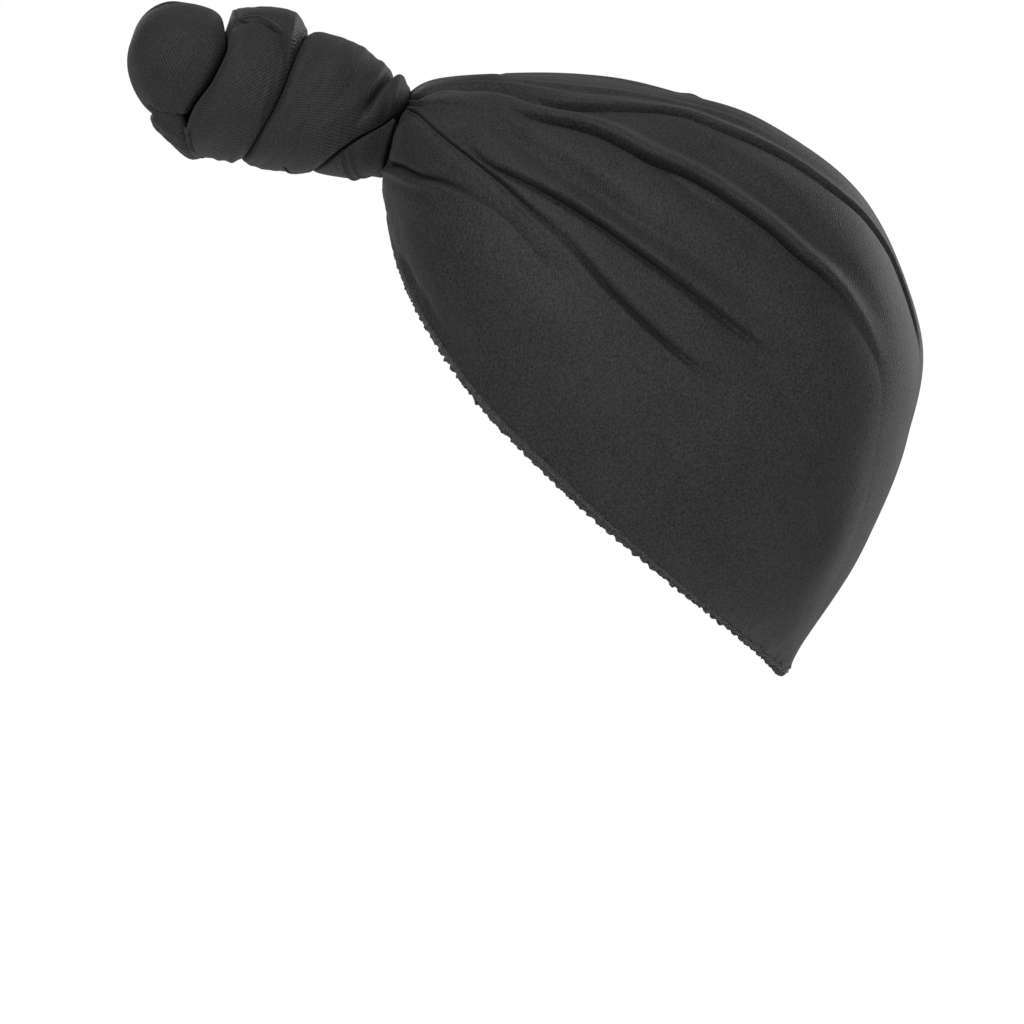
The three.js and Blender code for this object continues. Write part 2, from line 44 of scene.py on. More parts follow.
PHOTO_ORIGIN = (600.0, 85.5)  # px of the frame's origin in the photograph

# The cap: half ellipses from the crown line to the hem, fanned from the knot to the nape.
SECTION_COLUMNS = ("crown_y", "crown_z", "hem_y", "hem_z", "wide", "hem_x")
SECTION_ROWS = (
    (-64.2, -7.1, -71.2, -28.0, 10.8, 0.5),
    (-61.2, -2.8, -71.3, -33.0, 16.0, 0.6),
    (-52.8, 0.8, -70.6, -40.5, 27.0, 9.0),
    (-33.0, 2.2, -66.1, -59.5, 46.0, 27.0),
    (-6.6, 1.7, -55.9, -80.1, 61.0, 44.0),
    (22.8, -3.2, -38.7, -103.7, 71.0, 59.0),
    (55.7, -14.4, -18.9, -123.6, 76.0, 68.0),
    (87.4, -39.1, -0.7, -140.5, 77.5, 70.5),
    (105.4, -82.0, 14.7, -153.8, 76.0, 68.5),
    (101.3, -116.4, 30.4, -167.1, 69.0, 61.0),
    (90.1, -145.7, 44.0, -178.1, 57.0, 49.0),
    (76.8, -168.8, 53.9, -186.3, 40.0, 34.0),
    (66.3, -184.6, 60.2, -191.6, 20.0, 18.0),
    (62.8, -192.2, 62.7, -192.5, 0.6, 0.5),
)
SECTIONS = dict(zip(SECTION_COLUMNS, np.array(SECTION_ROWS).T))
LAST_SECTION = len(SECTION_ROWS) - 1
CLOTH_WALL = 1.8
SMALL_GAP = 0.1  # between pieces that touch

# The pleats. seen is where the photograph shows each crease, in px from the top left corner.
# ridge, crease, dip and lip are heights, lap is how far the ridge hangs over its crease, and lean
# how far the crease's foot lies below the line that is seen. A pleat grows between the sections
# in comes and fades between those in goes. early is the share of the crease that is there next to
# the knot, until the sections in lobe.
FOLDS = (
    dict(seen=((411, 99), (424, 94), (441, 88), (456, 86), (495, 88), (531, 97), (549, 100), (593, 105),
               (638, 110), (682, 116), (730, 134), (786, 160), (839, 197), (871, 228), (891, 258)),
         ridge=1.8, crease=2.0, dip=0.8, lip=0.3, lap=0.7, lean=1.7, comes=(3.3, 4.2),
         goes=(6.9, 8.4), early=0.9, lobe=(2.0, 3.2)),
    dict(seen=((410, 102), (424, 103), (436, 102), (470, 105), (502, 110), (531, 118), (549, 122), (575, 127),
               (600, 135), (643, 156), (682, 173), (730, 201), (773, 232), (799, 256), (822, 276),
               (844, 303), (858, 326), (868, 346), (876, 368)),
         ridge=2.8, crease=2.5, dip=1.4, lip=0.0, lap=1.3, lean=1.2, comes=(3.2, 4.4),
         goes=(6.7, 8.1), early=0.3, lobe=(2.5, 3.5)),
    dict(seen=((409, 105), (422, 109), (434, 119), (450, 134), (470, 151), (488, 164), (513, 175), (549, 193),
               (584, 213), (600, 223), (643, 254), (687, 288), (730, 323), (773, 364)),
         ridge=3.3, crease=2.8, dip=1.2, lip=0.0, lap=1.3, lean=1.0, comes=(3.0, 3.9),
         goes=(6.0, 7.7), early=0.0, lobe=(2.5, 3.5)),
    dict(seen=((408, 108), (422, 115), (433, 126), (447, 138), (470, 156), (486, 169), (509, 189), (531, 210),
               (556, 232), (584, 259), (614, 290), (662, 336), (706, 374), (730, 390)),
         ridge=1.2, crease=2.2, dip=0.6, lip=1.7, lap=0.5, lean=1.1, comes=(4.6, 5.6),
         goes=(6.2, 7.5), early=0.9, lobe=(3.4, 5.4)),
    dict(seen=((397, 165), (422, 176), (441, 181), (459, 189), (477, 201), (495, 213), (586, 317),
               (736, 522)),
         ridge=0.0, crease=1.9, dip=0.0, lip=2.2, lap=0.0, lean=0.8, comes=(3.0, 3.6),
         goes=(3.0, 3.6), early=0.9, lobe=(2.6, 3.9)),
)
# Soft troughs between the pleats: depth, breadth, and a line that is seen in the photograph or
# goes through shares (at) of the way from crown to hem at certain sections (stops).
SOFT_FOLDS = (
    dict(seen=((478, 112), (506, 133), (531, 149), (557, 165), (581, 182), (607, 204), (650, 242)),
         depth=-3.9, wide=4.2, comes=(2.7, 3.7), goes=(4.7, 6.4)),
    dict(seen=((630, 154), (642, 162), (668, 178), (693, 198), (715, 214), (741, 234), (765, 256)),
         depth=-1.7, wide=1.5, comes=(4.9, 5.4), goes=(6.0, 7.0)),
    dict(stops=(3.6, 4.2, 5.0, 5.6, 6.6), at=(0.27, 0.262, 0.27, 0.30, 0.33),
         depth=-1.6, wide=5.5, comes=(3.4, 4.4), goes=(5.8, 7.2)),
    dict(stops=(3.8, 4.88, 5.57, 6.15, 7.06, 7.6), at=(0.495, 0.515, 0.535, 0.54, 0.532, 0.52),
         depth=-0.7, wide=1.6, comes=(4.6, 5.4), goes=(7.0, 7.8)),
    dict(stops=(1.5, 2.6, 3.6, 4.6), at=(0.60, 0.585, 0.60, 0.66),
         depth=-1.3, wide=3.6, comes=(1.6, 2.4), goes=(3.4, 4.8)),
    dict(stops=(1.0, 2.0, 3.0, 4.0), at=(0.78, 0.80, 0.80, 0.84),
         depth=-0.7, wide=4.0, comes=(1.0, 1.8), goes=(2.4, 3.8)),
    dict(stops=(2.2, 2.6, 3.0, 3.6), at=(0.16, 0.165, 0.18, 0.255),
         depth=-2.2, wide=3.2, comes=(2.0, 2.7), goes=(3.4, 4.3)),
    dict(stops=(6.2, 6.8, 7.4, 8.0), at=(0.60, 0.615, 0.60, 0.58),
         depth=-1.3, wide=3.4, comes=(6.0, 6.9), goes=(7.2, 8.4)),
    dict(stops=(4.6, 5.4, 6.2, 7.0), at=(0.665, 0.70, 0.725, 0.735),
         depth=-1.0, wide=3.6, comes=(4.4, 5.2), goes=(6.4, 7.6)),
)
# How proud each panel between two creases stands, from the first swell section on.
FIRST_SWELL, LAST_SWELL, SWELL_STEP = 1, 8.5, 1.5
PANEL_SWELL = (
    (1.4, 1.5, 1.6, 1.6, 1.0, 0.2),
    (0.3, 0.8, 1.8, 1.8, 1.2, 0.2),
    (-1.2, -0.6, 1.6, 2.2, 1.6, 0.2),
    (0.2, 0.2, 0.8, 1.2, 0.8, 0.1),
    (1.6, 3.0, 1.6, 0.8, 0.4, 0.0),
    (1.0, 1.4, 0.8, 0.4, 0.2, 0.0),
)
PANEL_ROUND = 0.8  # the power that flattens a panel's sine
# A pleat's profile in mm from its crease's foot, narrower where the panels are narrow.
PLEAT_ROOM, LEAST_ROOM = 13, 0.25
CREASE_ROOM, LEAST_CREASE = 5, 0.3
RIDGE_AWAY, RIDGE_STEEP, RIDGE_SLOW = 2.0, 1.0, 3.4
HOLLOW_AWAY, HOLLOW_WIDE = 10.5, 4.2
CREASE_STEEP, CREASE_SLOW, CREASE_OPENS = 0.9, 1.15, 0.9
LIP_AWAY, LIP_WIDE = 2.8, 2.0
LAP_WIDE = 1.3
UNEVEN_PLEAT = dict(least=0.9, high=0.2, seed=83, wave=16, run=10)
LEAST_WALL = 0.9
LOBE_COMES = (0.4, 1.2)
ALL_FOLDS = dict(comes=(0.0, 1.0), goes=(11.5, 13.0))
FAR_SIDE_SHIFT, FAR_SIDE_SHARE, FAR_SIDE_COMES = 0.018, 0.88, (1, 3)

# The cap's fine relief: heights, waves and distances from the hem in mm.
CROWN_LINES = dict(high=0.3, count=5, least_share=0.05, comes=(2.0, 3.0), goes=(5.4, 6.6))
CROWN_LINE_SHARES = dict(comes=(0.15, 0.35), goes=(0.8, 0.95))
FAN_RIPPLES = dict(high=0.35, wave=6.5, spread=62, run=1.3, seed=11, comes=(0.3, 1.5), goes=(4, 8))
HEM_VALLEYS = (
    dict(deep=1.5, away=4.0, wide=2.4, comes=(2.8, 3.2), goes=(3.8, 4.6)),
    dict(deep=0.5, away=8.5, wide=4.5, comes=(1.5, 3), goes=(5, 8)),
)
HEM_PUCKERS = dict(high=0.28, wave=7.0, reach=7, run=24, slant=0.4, seed=23, comes=(1.6, 2.4))
SOFT_SWELL = dict(high=0.3, wave=34, run=20, seed=31, comes=(3, 5), goes=(11, 13))
# By the crown a far pleat stands up, with a small bump on it, where the near side sinks.
FAR_PLEAT = dict(near=-1.0, far=1.2, share=0.06, comes=(2.9, 3.1), goes=(4.2, 6.2))
FAR_BUMP = dict(high=0.9, share=0.03, wide=0.05, section=5.22, long=0.09)
CENTRE_CALM = 0.02  # the share from the crown line in which the fine relief dies away

CAP_ROWS = 261
PANEL_STEPS = (32, 24, 24, 16, 24, 36)  # fours, so that the inner grid has a line at each crease
STEP_SHARPNESS = 0.72  # how much closer the grid lines lie at a crease than in mid panel
INNER_EVERY = 4
SEEN_SPAN, SEEN_STEPS = (0.3, LAST_SECTION - 0.1), 1261
WALE_LEAN, WALE_MORE = math.radians(24), math.radians(6)  # from the pleats' line, and more at the back
WALE_TURNS = (2, 9)

# The knot's winding, with distances along its line from the foot.
KNOT_FOOT = (-66.3, -18.0)
KNOT_RISE = math.radians(18.5)
WINDING_COLUMNS = ("along", "lift", "round")
WINDING_ROWS = (
    (0, 0.5, 16.9), (4, 1.7, 17.8), (10, 1.3, 20), (16, 1.8, 21.8), (22, 2.5, 23.4),
    (30, 2.2, 23.8), (38, 1.1, 24.1), (48, 0.6, 25), (56, 0.1, 25.4), (64, -1.0, 25.4),
    (72, 1.2, 22.4), (80, 1.6, 20), (88, 2.7, 18), (96, 4.1, 16),
)
WINDING = dict(zip(WINDING_COLUMNS, np.array(WINDING_ROWS).T))
KNOT_START = 2.9
GROOVE_TURN = (-60, 60, 84, 105, 130, 180, 270, 360, 410, 450, 495, 540, 630, 720, 770, 810,
               850, 900, 990, 1060)
GROOVE_ALONG = (2.9, 2.9, 6.4, 12.4, 18, 24.6, 32, 39.6, 40.8, 41.4, 44.4, 47.2, 57, 66.8, 65.3,
                66, 68, 67.7, 70, 71)
STRAND_FROM, STRAND_TO = -60, 715
STRAND_EDGE, STRAND_ROLL = 4.4, 3.2
COIL_SHARPNESS = 0.6  # how much closer the strand's grid lines lie at its edges
TURN_STEP = 2.5  # degrees between sections
CORE_ROUND, CORE_HOLE = 8.2, 9.6
# The strand's relief: heights in mm; places and breadths in degrees of turn, or in mm along.
FULL_EDGE = dict(share=0.6, turn=365, wide=38)
COIL_SWELLS = (dict(high=2.4, turn=452, wide=52), dict(high=1.2, turn=105, wide=50))
SWELL_REST = 0.55
LAP_LINE = dict(deep=1.5, past=4.5, wide=4.0, comes=(0.05, 0.15))
ROOT_CREASE = dict(deep=4.0, wide=1.0, rim=0.7, rim_away=3.2, rim_wide=2.2, turn=20, fades=(40, 78))
FAINT_LINE = dict(deep=0.35, along=30.5, lean=0.02, from_turn=90, wide=0.8, turn=75, fades=(55, 75))
RELIEF_ROUND, CLOTH_ROUND = 22, 23  # radii that turn degrees into mm, for relief and for cloth
STRAND_DIVE, STRAND_DIVES = 7.5, (640, 712)  # its end goes down under the tip on the far side
FAN_PLEATS = dict(high=0.3, near=0.35, seed=61, wave=4.5)
FINE_PLEATS = dict(high=0.13, seed=62, wave=5.0)
SOFT_WAVES = dict(high=0.3, seed=67, wave=20)
# How the wales lean along the strand, and how that changes low on the left and high on it.
WALE_SLANT = -0.33
LOW_WALES = dict(slant=0.85, comes=(60, 190), goes=(280, 340))
UPPER_WALES = dict(slant=-0.95, comes=(330, 375), goes=(420, 520))
CROSS_DRIFT = 0.2

UNDER_FROM = -285
WRAP_GAP, WRAP_BELOW, WRAP_ROLL = 0.6, 1.9, 2.4
WRAP_CLOTH_ROUND = 19
WRAP_FOOT = dict(drop=2.0, turn=-185, wide=45)
WRAP_FOLDS = ((0.85, 0.0, 0.8), (0.55, 3.0, 0.6))  # height, distance from the fold line, breadth
WRAP_FOLD_LINE = dict(along=14.6, lean=0.134, from_turn=-217, turn=-210, fades=(30, 55))
FLAP_W = (0.04, 0.12, 0.2, 0.34, 0.46, 0.6, 0.8, 0.95)
FLAP_REACH = (60, 52, 43, 32, 27, 24, 25, 29)
FLAP_THICK = (1.4, 2.6, 3.4, 3.0, 2.2, 1.4, 0.7, 0.3)
FLAP_TAIL = 75  # degrees that the flap runs back before the top
FLAP_LEAST, FLAP_PUFF = 0.3, 0.5
ROOT_ALONG, ROOT_LEAN = 8.3, 0.066
TIP_END, TIP_ROUND, TIP_WIDEST = 94.4, 19.9, 0.3
REAR_POWERS, FRONT_POWERS = (6.0, 6.0), (1.6, 2.5)
TIP_LAP, TIP_LAP_TURN, TIP_LAP_WIDE = 2.4, 58, 60
# The tip's folded lower edge: a lip along a slanted line, the groove under it, a hole and a nub.
TIP_FOLD_FROM, TIP_FOLD_LEAN = 72, 0.6
TIP_LIP = dict(high=0.9, turn=143, wide=6, comes=(68, 71), goes=(79, 83))
TIP_GROOVE = dict(high=-1.6, turn=157, wide=7, comes=(67, 70), goes=(80, 84))
TIP_HOLE = dict(high=-3.2, along=69.6, long=1.7, turn=147, wide=1.9)
TIP_NUB = dict(high=1.0, along=69.8, long=1.5, turn=136, wide=1.6)
TIP_WAVES = dict(high=0.3, seed=71, wave=15)
TIP_PUCKER, TIP_PUCKER_TURN, TIP_PUCKER_RUN = 0.35, 0.5, 2.1
TIP_MM_PER_DEGREE = 0.36
TIP_WALE_LEAN = math.radians(-40)
TIP_CLOTH_ROUND = 18
TUCK_TURNS = (138, 242)
TUCK_ALONG, TUCK_DRIFT = 74.8, 5.0
TUCK_WIDE, TUCK_WIDENS, TUCK_THICK = 6.8, 3.8, 3.9
TUCK_OUT, TUCK_RISE, TUCK_SLOPE, TUCK_LEVEL = 17.4, 5.0, 0.2, 70.2
TUCK_WAVES = dict(high=0.25, seed=73, wave=6, run=0.4)
TUCK_CLOTH_ROUND, TUCK_CLOTH_THICK = 22, 4.5
NECK_FROM, NECK_TO, NECK_FLUTES, FLUTE_HIGH = -5, 64, 11, 0.5
# Wrapped edges: name, then along, turn and out at both ends, radius and number of the loops.
WRAPPED_EDGES = (
    ("tuck_overlock", (67.6, 59.6), (500, 536), (24.4, 25.3), 0.9, 20),
    ("fold_overlock", (33, 30), (160, 182), (24.0, 23.7), 0.45, 14),
)
FLAP_EDGE_SHARES, FLAP_EDGE_PROUD, FLAP_EDGE_LOOP, FLAP_EDGE_WINDS = (0.3, 0.93), 0.5, 0.5, 80

HEM_WIDTH, HEM_THICK, HEM_FROM = 3.6, 1.7, 1.55
HEM_FULL, HEM_WIDENS = (0, 12), (50, 150)  # distances from the hem's ends
HEM_WIDTHS = (0.80, 0.16, 0.05)  # the least share, what it widens by, and its slow wave
RUFFLE_PITCH, RUFFLE_COMES = 4.2, (19, 34)
RUFFLE_SWING = (0.1, 0.7)  # at the cloth, and how much more at the free edge
RUFFLE_WANDER = dict(high=1.3, seed=41, wave=19)
RUFFLE_UNEVEN = dict(least=0.75, high=0.45, seed=43, wave=13)
RUFFLE_FRILL = dict(high=0.3, seed=44, wave=2.6)
RUFFLE_LOBE, RUFFLE_SHARE = 0.25, 0.75
EDGE_ROUGH = dict(high=0.16, seed=47, wave=1.9)
STITCH_PITCH, STITCH_LEAN = 1.5, 1.1
STITCH_WANDER = dict(high=0.25, seed=53, wave=2.3)
LOOPER_RADIUS, CHAIN_RADIUS, WRAP_THREAD_RADIUS, LOOSE_RADIUS = 0.16, 0.13, 0.15, 0.14
CHAIN_LINES = ((0.03, 0.75, 3), (0.2, 1.05, 5), (0.36, 1.15, 6))  # across, proud, phase
# Loose ends at the front of the hem: lean, length and bend.
LOOSE_ENDS = ((-0.32, 3.6, 0.5), (-0.16, 4.6, -0.4), (0.06, 2.6, 0.3))
LOOSE_FROM = (3.0, -70.9, -31.0)


def linear(hex_colour):
    """An sRGB hex colour as the linear colour that a shader takes."""
    srgb = np.array([int(hex_colour[i:i + 2], 16) for i in (1, 3, 5)]) / 255
    value = np.where(srgb <= 0.04045, srgb / 12.92, ((srgb + 0.055) / 1.055) ** 2.4)
    return (*value.tolist(), 1.0)


def ease(a, b, x):
    """0 below a, 1 above b, with a smooth cubic step between them."""
    s = np.clip((x - a) / (b - a), 0, 1)
    return s * s * (3 - 2 * s)


def bell(x, width):
    """1 at 0, falling away on both sides as exp(-(x / width)^2)."""
    return np.exp(-((x / width) ** 2))


def between(stretch, k):
    """Grows from 0 to 1 over the stretch's comes, and falls back to 0 over its goes."""
    return ease(*stretch["comes"], k) * (1 - ease(*stretch["goes"], k))


def through(values, x):
    """A Catmull-Rom curve through evenly spaced values, read at row number x."""
    v = np.asarray(values, float)
    last = len(v) - 1
    i = np.clip(np.floor(x), 0, last - 1).astype(int)
    f = np.clip(x - i, 0, 1)
    p0, p1, p2, p3 = v[np.maximum(i - 1, 0)], v[i], v[i + 1], v[np.minimum(i + 2, last)]
    bend = 2 * p0 - 5 * p1 + 4 * p2 - p3
    twist = 3 * p1 - p0 - 3 * p2 + p3
    return 0.5 * (2 * p1 + (p2 - p0) * f + bend * f * f + twist * f * f * f)


def smooth_read(stops, values, x):
    """A curve through unevenly spaced stops: each end's slope is the mean of its neighbours'."""
    s, v = np.asarray(stops, float), np.asarray(values, float)
    slope = np.gradient(v, s)
    x = np.clip(x, s[0], s[-1])
    i = np.clip(np.searchsorted(s, x) - 1, 0, len(s) - 2)
    h = s[i + 1] - s[i]
    f = (x - s[i]) / h
    return (v[i] * (2 * f**3 - 3 * f**2 + 1) + slope[i] * h * (f**3 - 2 * f**2 + f)
            + v[i + 1] * (3 * f**2 - 2 * f**3) + slope[i + 1] * h * (f**3 - f**2))


def waves(x, y, seed, scale, count=7):
    """Soft random relief from -1 to 1: a sum of sines of random direction about one wavelength."""
    rng = np.random.default_rng(seed)
    total = 0
    for _ in range(count):
        angle, phase = rng.uniform(0, 2 * np.pi, 2)
        turn = 2 * np.pi / (scale * rng.uniform(0.7, 1.5))
        total = total + np.sin((x * np.cos(angle) + y * np.sin(angle)) * turn + phase)
    return total / count**0.5


def random_relief(named, x, y, other=0):
    """Waves of a named height, seed and wavelength; other makes a second draw of the same kind."""
    return named["high"] * waves(x, y, named["seed"] + other, named["wave"])


def photo_place(px, py):
    """The y and z in the frame, in metres, of a photograph's pixel in the side plane."""
    return (px - PHOTO_ORIGIN[0]) * MM_PER_PX * MM, (PHOTO_ORIGIN[1] - py) * MM_PER_PX * MM


# Meshes from grids

ASLANT = np.array([0.31, 0.87, 0.38])  # a direction that no thread follows
THREAD_END = 0.35  # how thin a thread is at its ends


def piece_of(name, points, faces, uvs, material):
    """A smooth mesh at the origin, facing out, with one UV pair for each face corner."""
    mesh = bpy.data.meshes.new(name)
    mesh.from_pydata((points * MM).tolist(), [], faces)
    layer = mesh.uv_layers.new(name="cloth")
    layer.data.foreach_set("uv", (np.asarray(uvs, np.float32) * MM).ravel())
    mesh.polygons.foreach_set("use_smooth", np.ones(len(faces), bool))
    mesh.materials.append(material)
    obj = bpy.data.objects.new(name, mesh)
    bpy.context.scene.collection.objects.link(obj)
    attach(obj, "root")
    return obj


def volume_of(points, faces):
    """Signed volume: a third of each triangle's area by its distance, negative when inside out."""
    tri = np.array([(f[0], f[i], f[i + 1]) for f in faces for i in range(1, len(f) - 1)])
    a, b, c = points[tri[:, 0]], points[tri[:, 1]], points[tri[:, 2]]
    return np.einsum("ij,ij->i", a, np.cross(b, c)).sum() / 6


def closed_piece(name, points, faces, uvs, material):
    """As piece_of, with the faces turned round where the shape is inside out."""
    if volume_of(points, faces) < 0:
        faces = [f[::-1] for f in faces]
        sizes = np.array([len(f) for f in faces])
        start = np.cumsum(sizes) - sizes
        uvs = np.asarray(uvs)[np.repeat(2 * start + sizes - 1, sizes) - np.arange(sizes.sum())]
    return piece_of(name, points, faces, uvs, material)


def grid_faces(number, uv, flip=False):
    """Quads of a grid of vertex numbers, with the UV of each corner."""
    corners = [number[:-1, :-1], number[:-1, 1:], number[1:, 1:], number[1:, :-1]]
    places = [uv[:-1, :-1], uv[:-1, 1:], uv[1:, 1:], uv[1:, :-1]]
    if flip:
        corners, places = corners[::-1], places[::-1]
    faces = np.stack(corners, -1).reshape(-1, 4)
    return faces.tolist(), np.stack(places, 2).reshape(-1, 2).tolist()


def sweep(name, rings, uv, material):
    """A body from rings (m, n, 3) round a path, closed at both ends by a fan."""
    m, n, _ = rings.shape
    number = np.arange(m * n).reshape(m, n)
    wrapped = np.concatenate([number, number[:, :1]], 1)
    faces, uvs = grid_faces(wrapped, uv)
    points = rings.reshape(-1, 3)
    ends = np.stack([rings[0].mean(0), rings[-1].mean(0)])
    for row, centre, order in ((0, m * n, [0, 2, 1]), (m - 1, m * n + 1, [0, 1, 2])):
        fan = np.stack([np.full(n, centre), wrapped[row, :-1], wrapped[row, 1:]], -1)
        a, b = uv[row, :-1], uv[row, 1:]
        faces += fan[:, order].tolist()
        uvs += np.stack([(a + b) / 2, a, b], 1)[:, order].reshape(-1, 2).tolist()
    return closed_piece(name, np.concatenate([points, ends]), faces, uvs, material)


def tubes(name, paths, radius, material, sides=5):
    """Threads: each path (m, 3) of one array (count, m, 3) carries a round section."""
    count, m, _ = paths.shape
    ahead = np.gradient(paths, axis=1)
    ahead /= np.linalg.norm(ahead, axis=2, keepdims=True)
    side = np.cross(ahead, ASLANT)
    side /= np.linalg.norm(side, axis=2, keepdims=True)
    up = np.cross(side, ahead)
    angle = 2 * np.pi * np.arange(sides) / sides
    taper = np.ones(m)
    taper[[0, -1]] = THREAD_END
    ring = (np.cos(angle)[:, None] * side[:, :, None] + np.sin(angle)[:, None] * up[:, :, None])
    points = paths[:, :, None] + ring * (radius * taper)[None, :, None, None]
    number = np.arange(count * m * sides).reshape(count, m, sides)
    wrapped = np.concatenate([number, number[:, :, :1]], 2)
    a, b = wrapped[:, :-1, :-1], wrapped[:, :-1, 1:]
    c, d = wrapped[:, 1:, 1:], wrapped[:, 1:, :-1]
    faces = np.stack([a, d, c, b], -1).reshape(-1, 4).tolist()
    faces += number[:, 0].tolist() + number[:, -1, ::-1].tolist()
    reach = np.cumsum(np.linalg.norm(np.diff(paths, axis=1, prepend=paths[:, :1]), axis=2), 1)
    uv = np.stack([np.broadcast_to(reach[..., None], number.shape),
                   np.broadcast_to(angle * radius, number.shape)], -1).reshape(-1, 2)
    corners = np.concatenate([np.array(f) for f in faces])
    return closed_piece(name, points.reshape(-1, 3), faces, uv[corners].tolist(), material)


# The cap

def form_section(k):
    """At section k, the ellipse's middle, up direction, half sizes and turn from crown to hem."""
    read = {name: through(SECTIONS[name], k) for name in SECTION_COLUMNS}
    wide = np.maximum(read["wide"], 0.1)
    hem_x = np.clip(read["hem_x"], 0.05, wide * 0.999)
    up = np.stack([read["crown_y"] - read["hem_y"], read["crown_z"] - read["hem_z"]], -1)
    drop = np.linalg.norm(up, axis=-1)
    up /= drop[..., None]
    turn = np.pi - np.arcsin(hem_x / wide)
    tall = drop / (1 - np.cos(turn))
    crown = np.stack([read["crown_y"], read["crown_z"]], -1)
    middle = crown - up * tall[..., None]
    arc = turn * np.sqrt((wide**2 + tall**2) / 2)
    return dict(up=up, turn=turn, tall=tall, wide=wide, middle=middle, arc=arc)


def form_point(k, t):
    """x = wide sin(turn t), and middle + up tall cos(turn t) in the side plane; t < 0 is the right."""
    f = form_section(k)
    across = f["tall"] * np.cos(f["turn"] * t)
    side = f["middle"] + f["up"] * across[..., None]
    return np.stack([f["wide"] * np.sin(f["turn"] * t), side[..., 0], side[..., 1]], -1)


def unit(v):
    return v / np.maximum(np.linalg.norm(v, axis=-1, keepdims=True), 1e-9)


def form_frame(k, t):
    """Outward normal and the direction from crown to hem, by central differences."""
    dk, dt, short_of_end = 0.02, 0.004, 0.07
    inside = np.clip(k, dk, LAST_SECTION - short_of_end)
    along_k = form_point(inside + dk, t) - form_point(inside - dk, t)
    along_t = form_point(inside, t + dt) - form_point(inside, t - dt)
    return unit(np.cross(along_t, along_k)), unit(along_t)


def seen_line(points):
    """Section numbers and shares from crown to hem of points read off the photograph. From the
    side a section is a straight line, so a point is on the one that its crown joins it along;
    its drop below the crown, tall (1 - cos(turn t)), gives the share t."""
    k = np.linspace(*SEEN_SPAN, SEEN_STEPS)[:, None]
    f = form_section(k)
    place = np.stack(photo_place(*np.array(points, float).T), -1)[None] / MM
    crown = f["middle"] + f["up"] * f["tall"][..., None]
    off = place - crown
    miss = off[..., 0] * f["up"][..., 1] - off[..., 1] * f["up"][..., 0]
    row = np.argmax((miss[:-1] * miss[1:] <= 0), axis=0)
    drop = -(off * f["up"]).sum(-1) / f["tall"]
    t = np.arccos(np.clip(1 - drop, -1, 1)) / f["turn"]
    return k[row, 0], t[row, np.arange(len(row))]


def near_knot(fold, k):
    """How much of a crease's lobe beside the knot is there at section k."""
    return ease(*LOBE_COMES, k) * (1 - ease(*fold["lobe"], k))


def creases(k, side):
    """Each crease's share of the way from crown to hem at section k, on the left or right side."""
    shift = FAR_SIDE_SHIFT * ease(*FAR_SIDE_COMES, k) if side < 0 else 0
    arc = form_section(k)["arc"]
    lines = [smooth_read(*seen_line(fold["seen"]), k) + shift for fold in FOLDS]
    # The eye sees a crease a little above its foot, under the ridge that hangs over it.
    return [line + fold["lean"] / arc * np.maximum(between(fold, k), near_knot(fold, k))
            for line, fold in zip(lines, FOLDS)]


def fold_relief(k, t, side):
    """Height of the cloth off the form and its slide towards the hem, for t from 0 to 1."""
    arc = form_section(k)["arc"]
    lines = creases(k, side)
    bounds = [-lines[0], *lines, np.ones_like(k)]
    widths = [(b - a) * arc for a, b in zip(bounds[:-1], bounds[1:])]
    spread = [1, *[np.clip(wide / CREASE_ROOM, LEAST_CREASE, 1) for wide in widths[1:-1]], 1]
    height, slide = np.zeros_like(k), np.zeros_like(k)
    for panel, swell in enumerate(PANEL_SWELL):
        low, high = bounds[panel], bounds[panel + 1]
        q = np.clip((t - low) / (high - low), 0, 1)
        proud = through(swell, (np.clip(k, FIRST_SWELL, LAST_SWELL) - FIRST_SWELL) / SWELL_STEP)
        height += np.where((t >= low) & (t <= high), proud * np.sin(np.pi * q) ** PANEL_ROUND, 0)
    for i, fold in enumerate(FOLDS):
        away = (lines[i] - t) * arc
        room = np.clip(widths[i] / PLEAT_ROOM, LEAST_ROOM, 1)
        uneven = random_relief(UNEVEN_PLEAT, k * UNEVEN_PLEAT["run"], 0 * k, 2 * i)
        stands = between(fold, k) * (UNEVEN_PLEAT["least"] + uneven)
        lobe = near_knot(fold, k)
        from_ridge = away - RIDGE_AWAY * room
        round_off = np.where(from_ridge > 0, RIDGE_SLOW, RIDGE_STEEP) * room
        height += stands * fold["ridge"] * bell(from_ridge, round_off)
        height -= stands * fold["dip"] * bell(away - HOLLOW_AWAY * room, HOLLOW_WIDE * room)
        sharp = np.where(away > 0, CREASE_STEEP * spread[i], CREASE_SLOW * spread[i + 1])
        sharp = sharp * (1 + CREASE_OPENS * ease(*fold["goes"], k))
        height -= np.maximum(stands, fold["early"] * lobe) * fold["crease"] * bell(away, sharp)
        height += lobe * fold["lip"] * bell(away + LIP_AWAY * room, LIP_WIDE * room)
        slide += stands * fold["lap"] * room * bell(from_ridge, LAP_WIDE * room)
    for soft in SOFT_FOLDS:
        line = seen_line(soft["seen"]) if "seen" in soft else (soft["stops"], soft["at"])
        away = (smooth_read(*line, k) - t) * arc
        height += between(soft, k) * soft["depth"] * bell(away, soft["wide"])
    share = between(ALL_FOLDS, k) * (FAR_SIDE_SHARE if side < 0 else 1)
    return height * share, slide * share


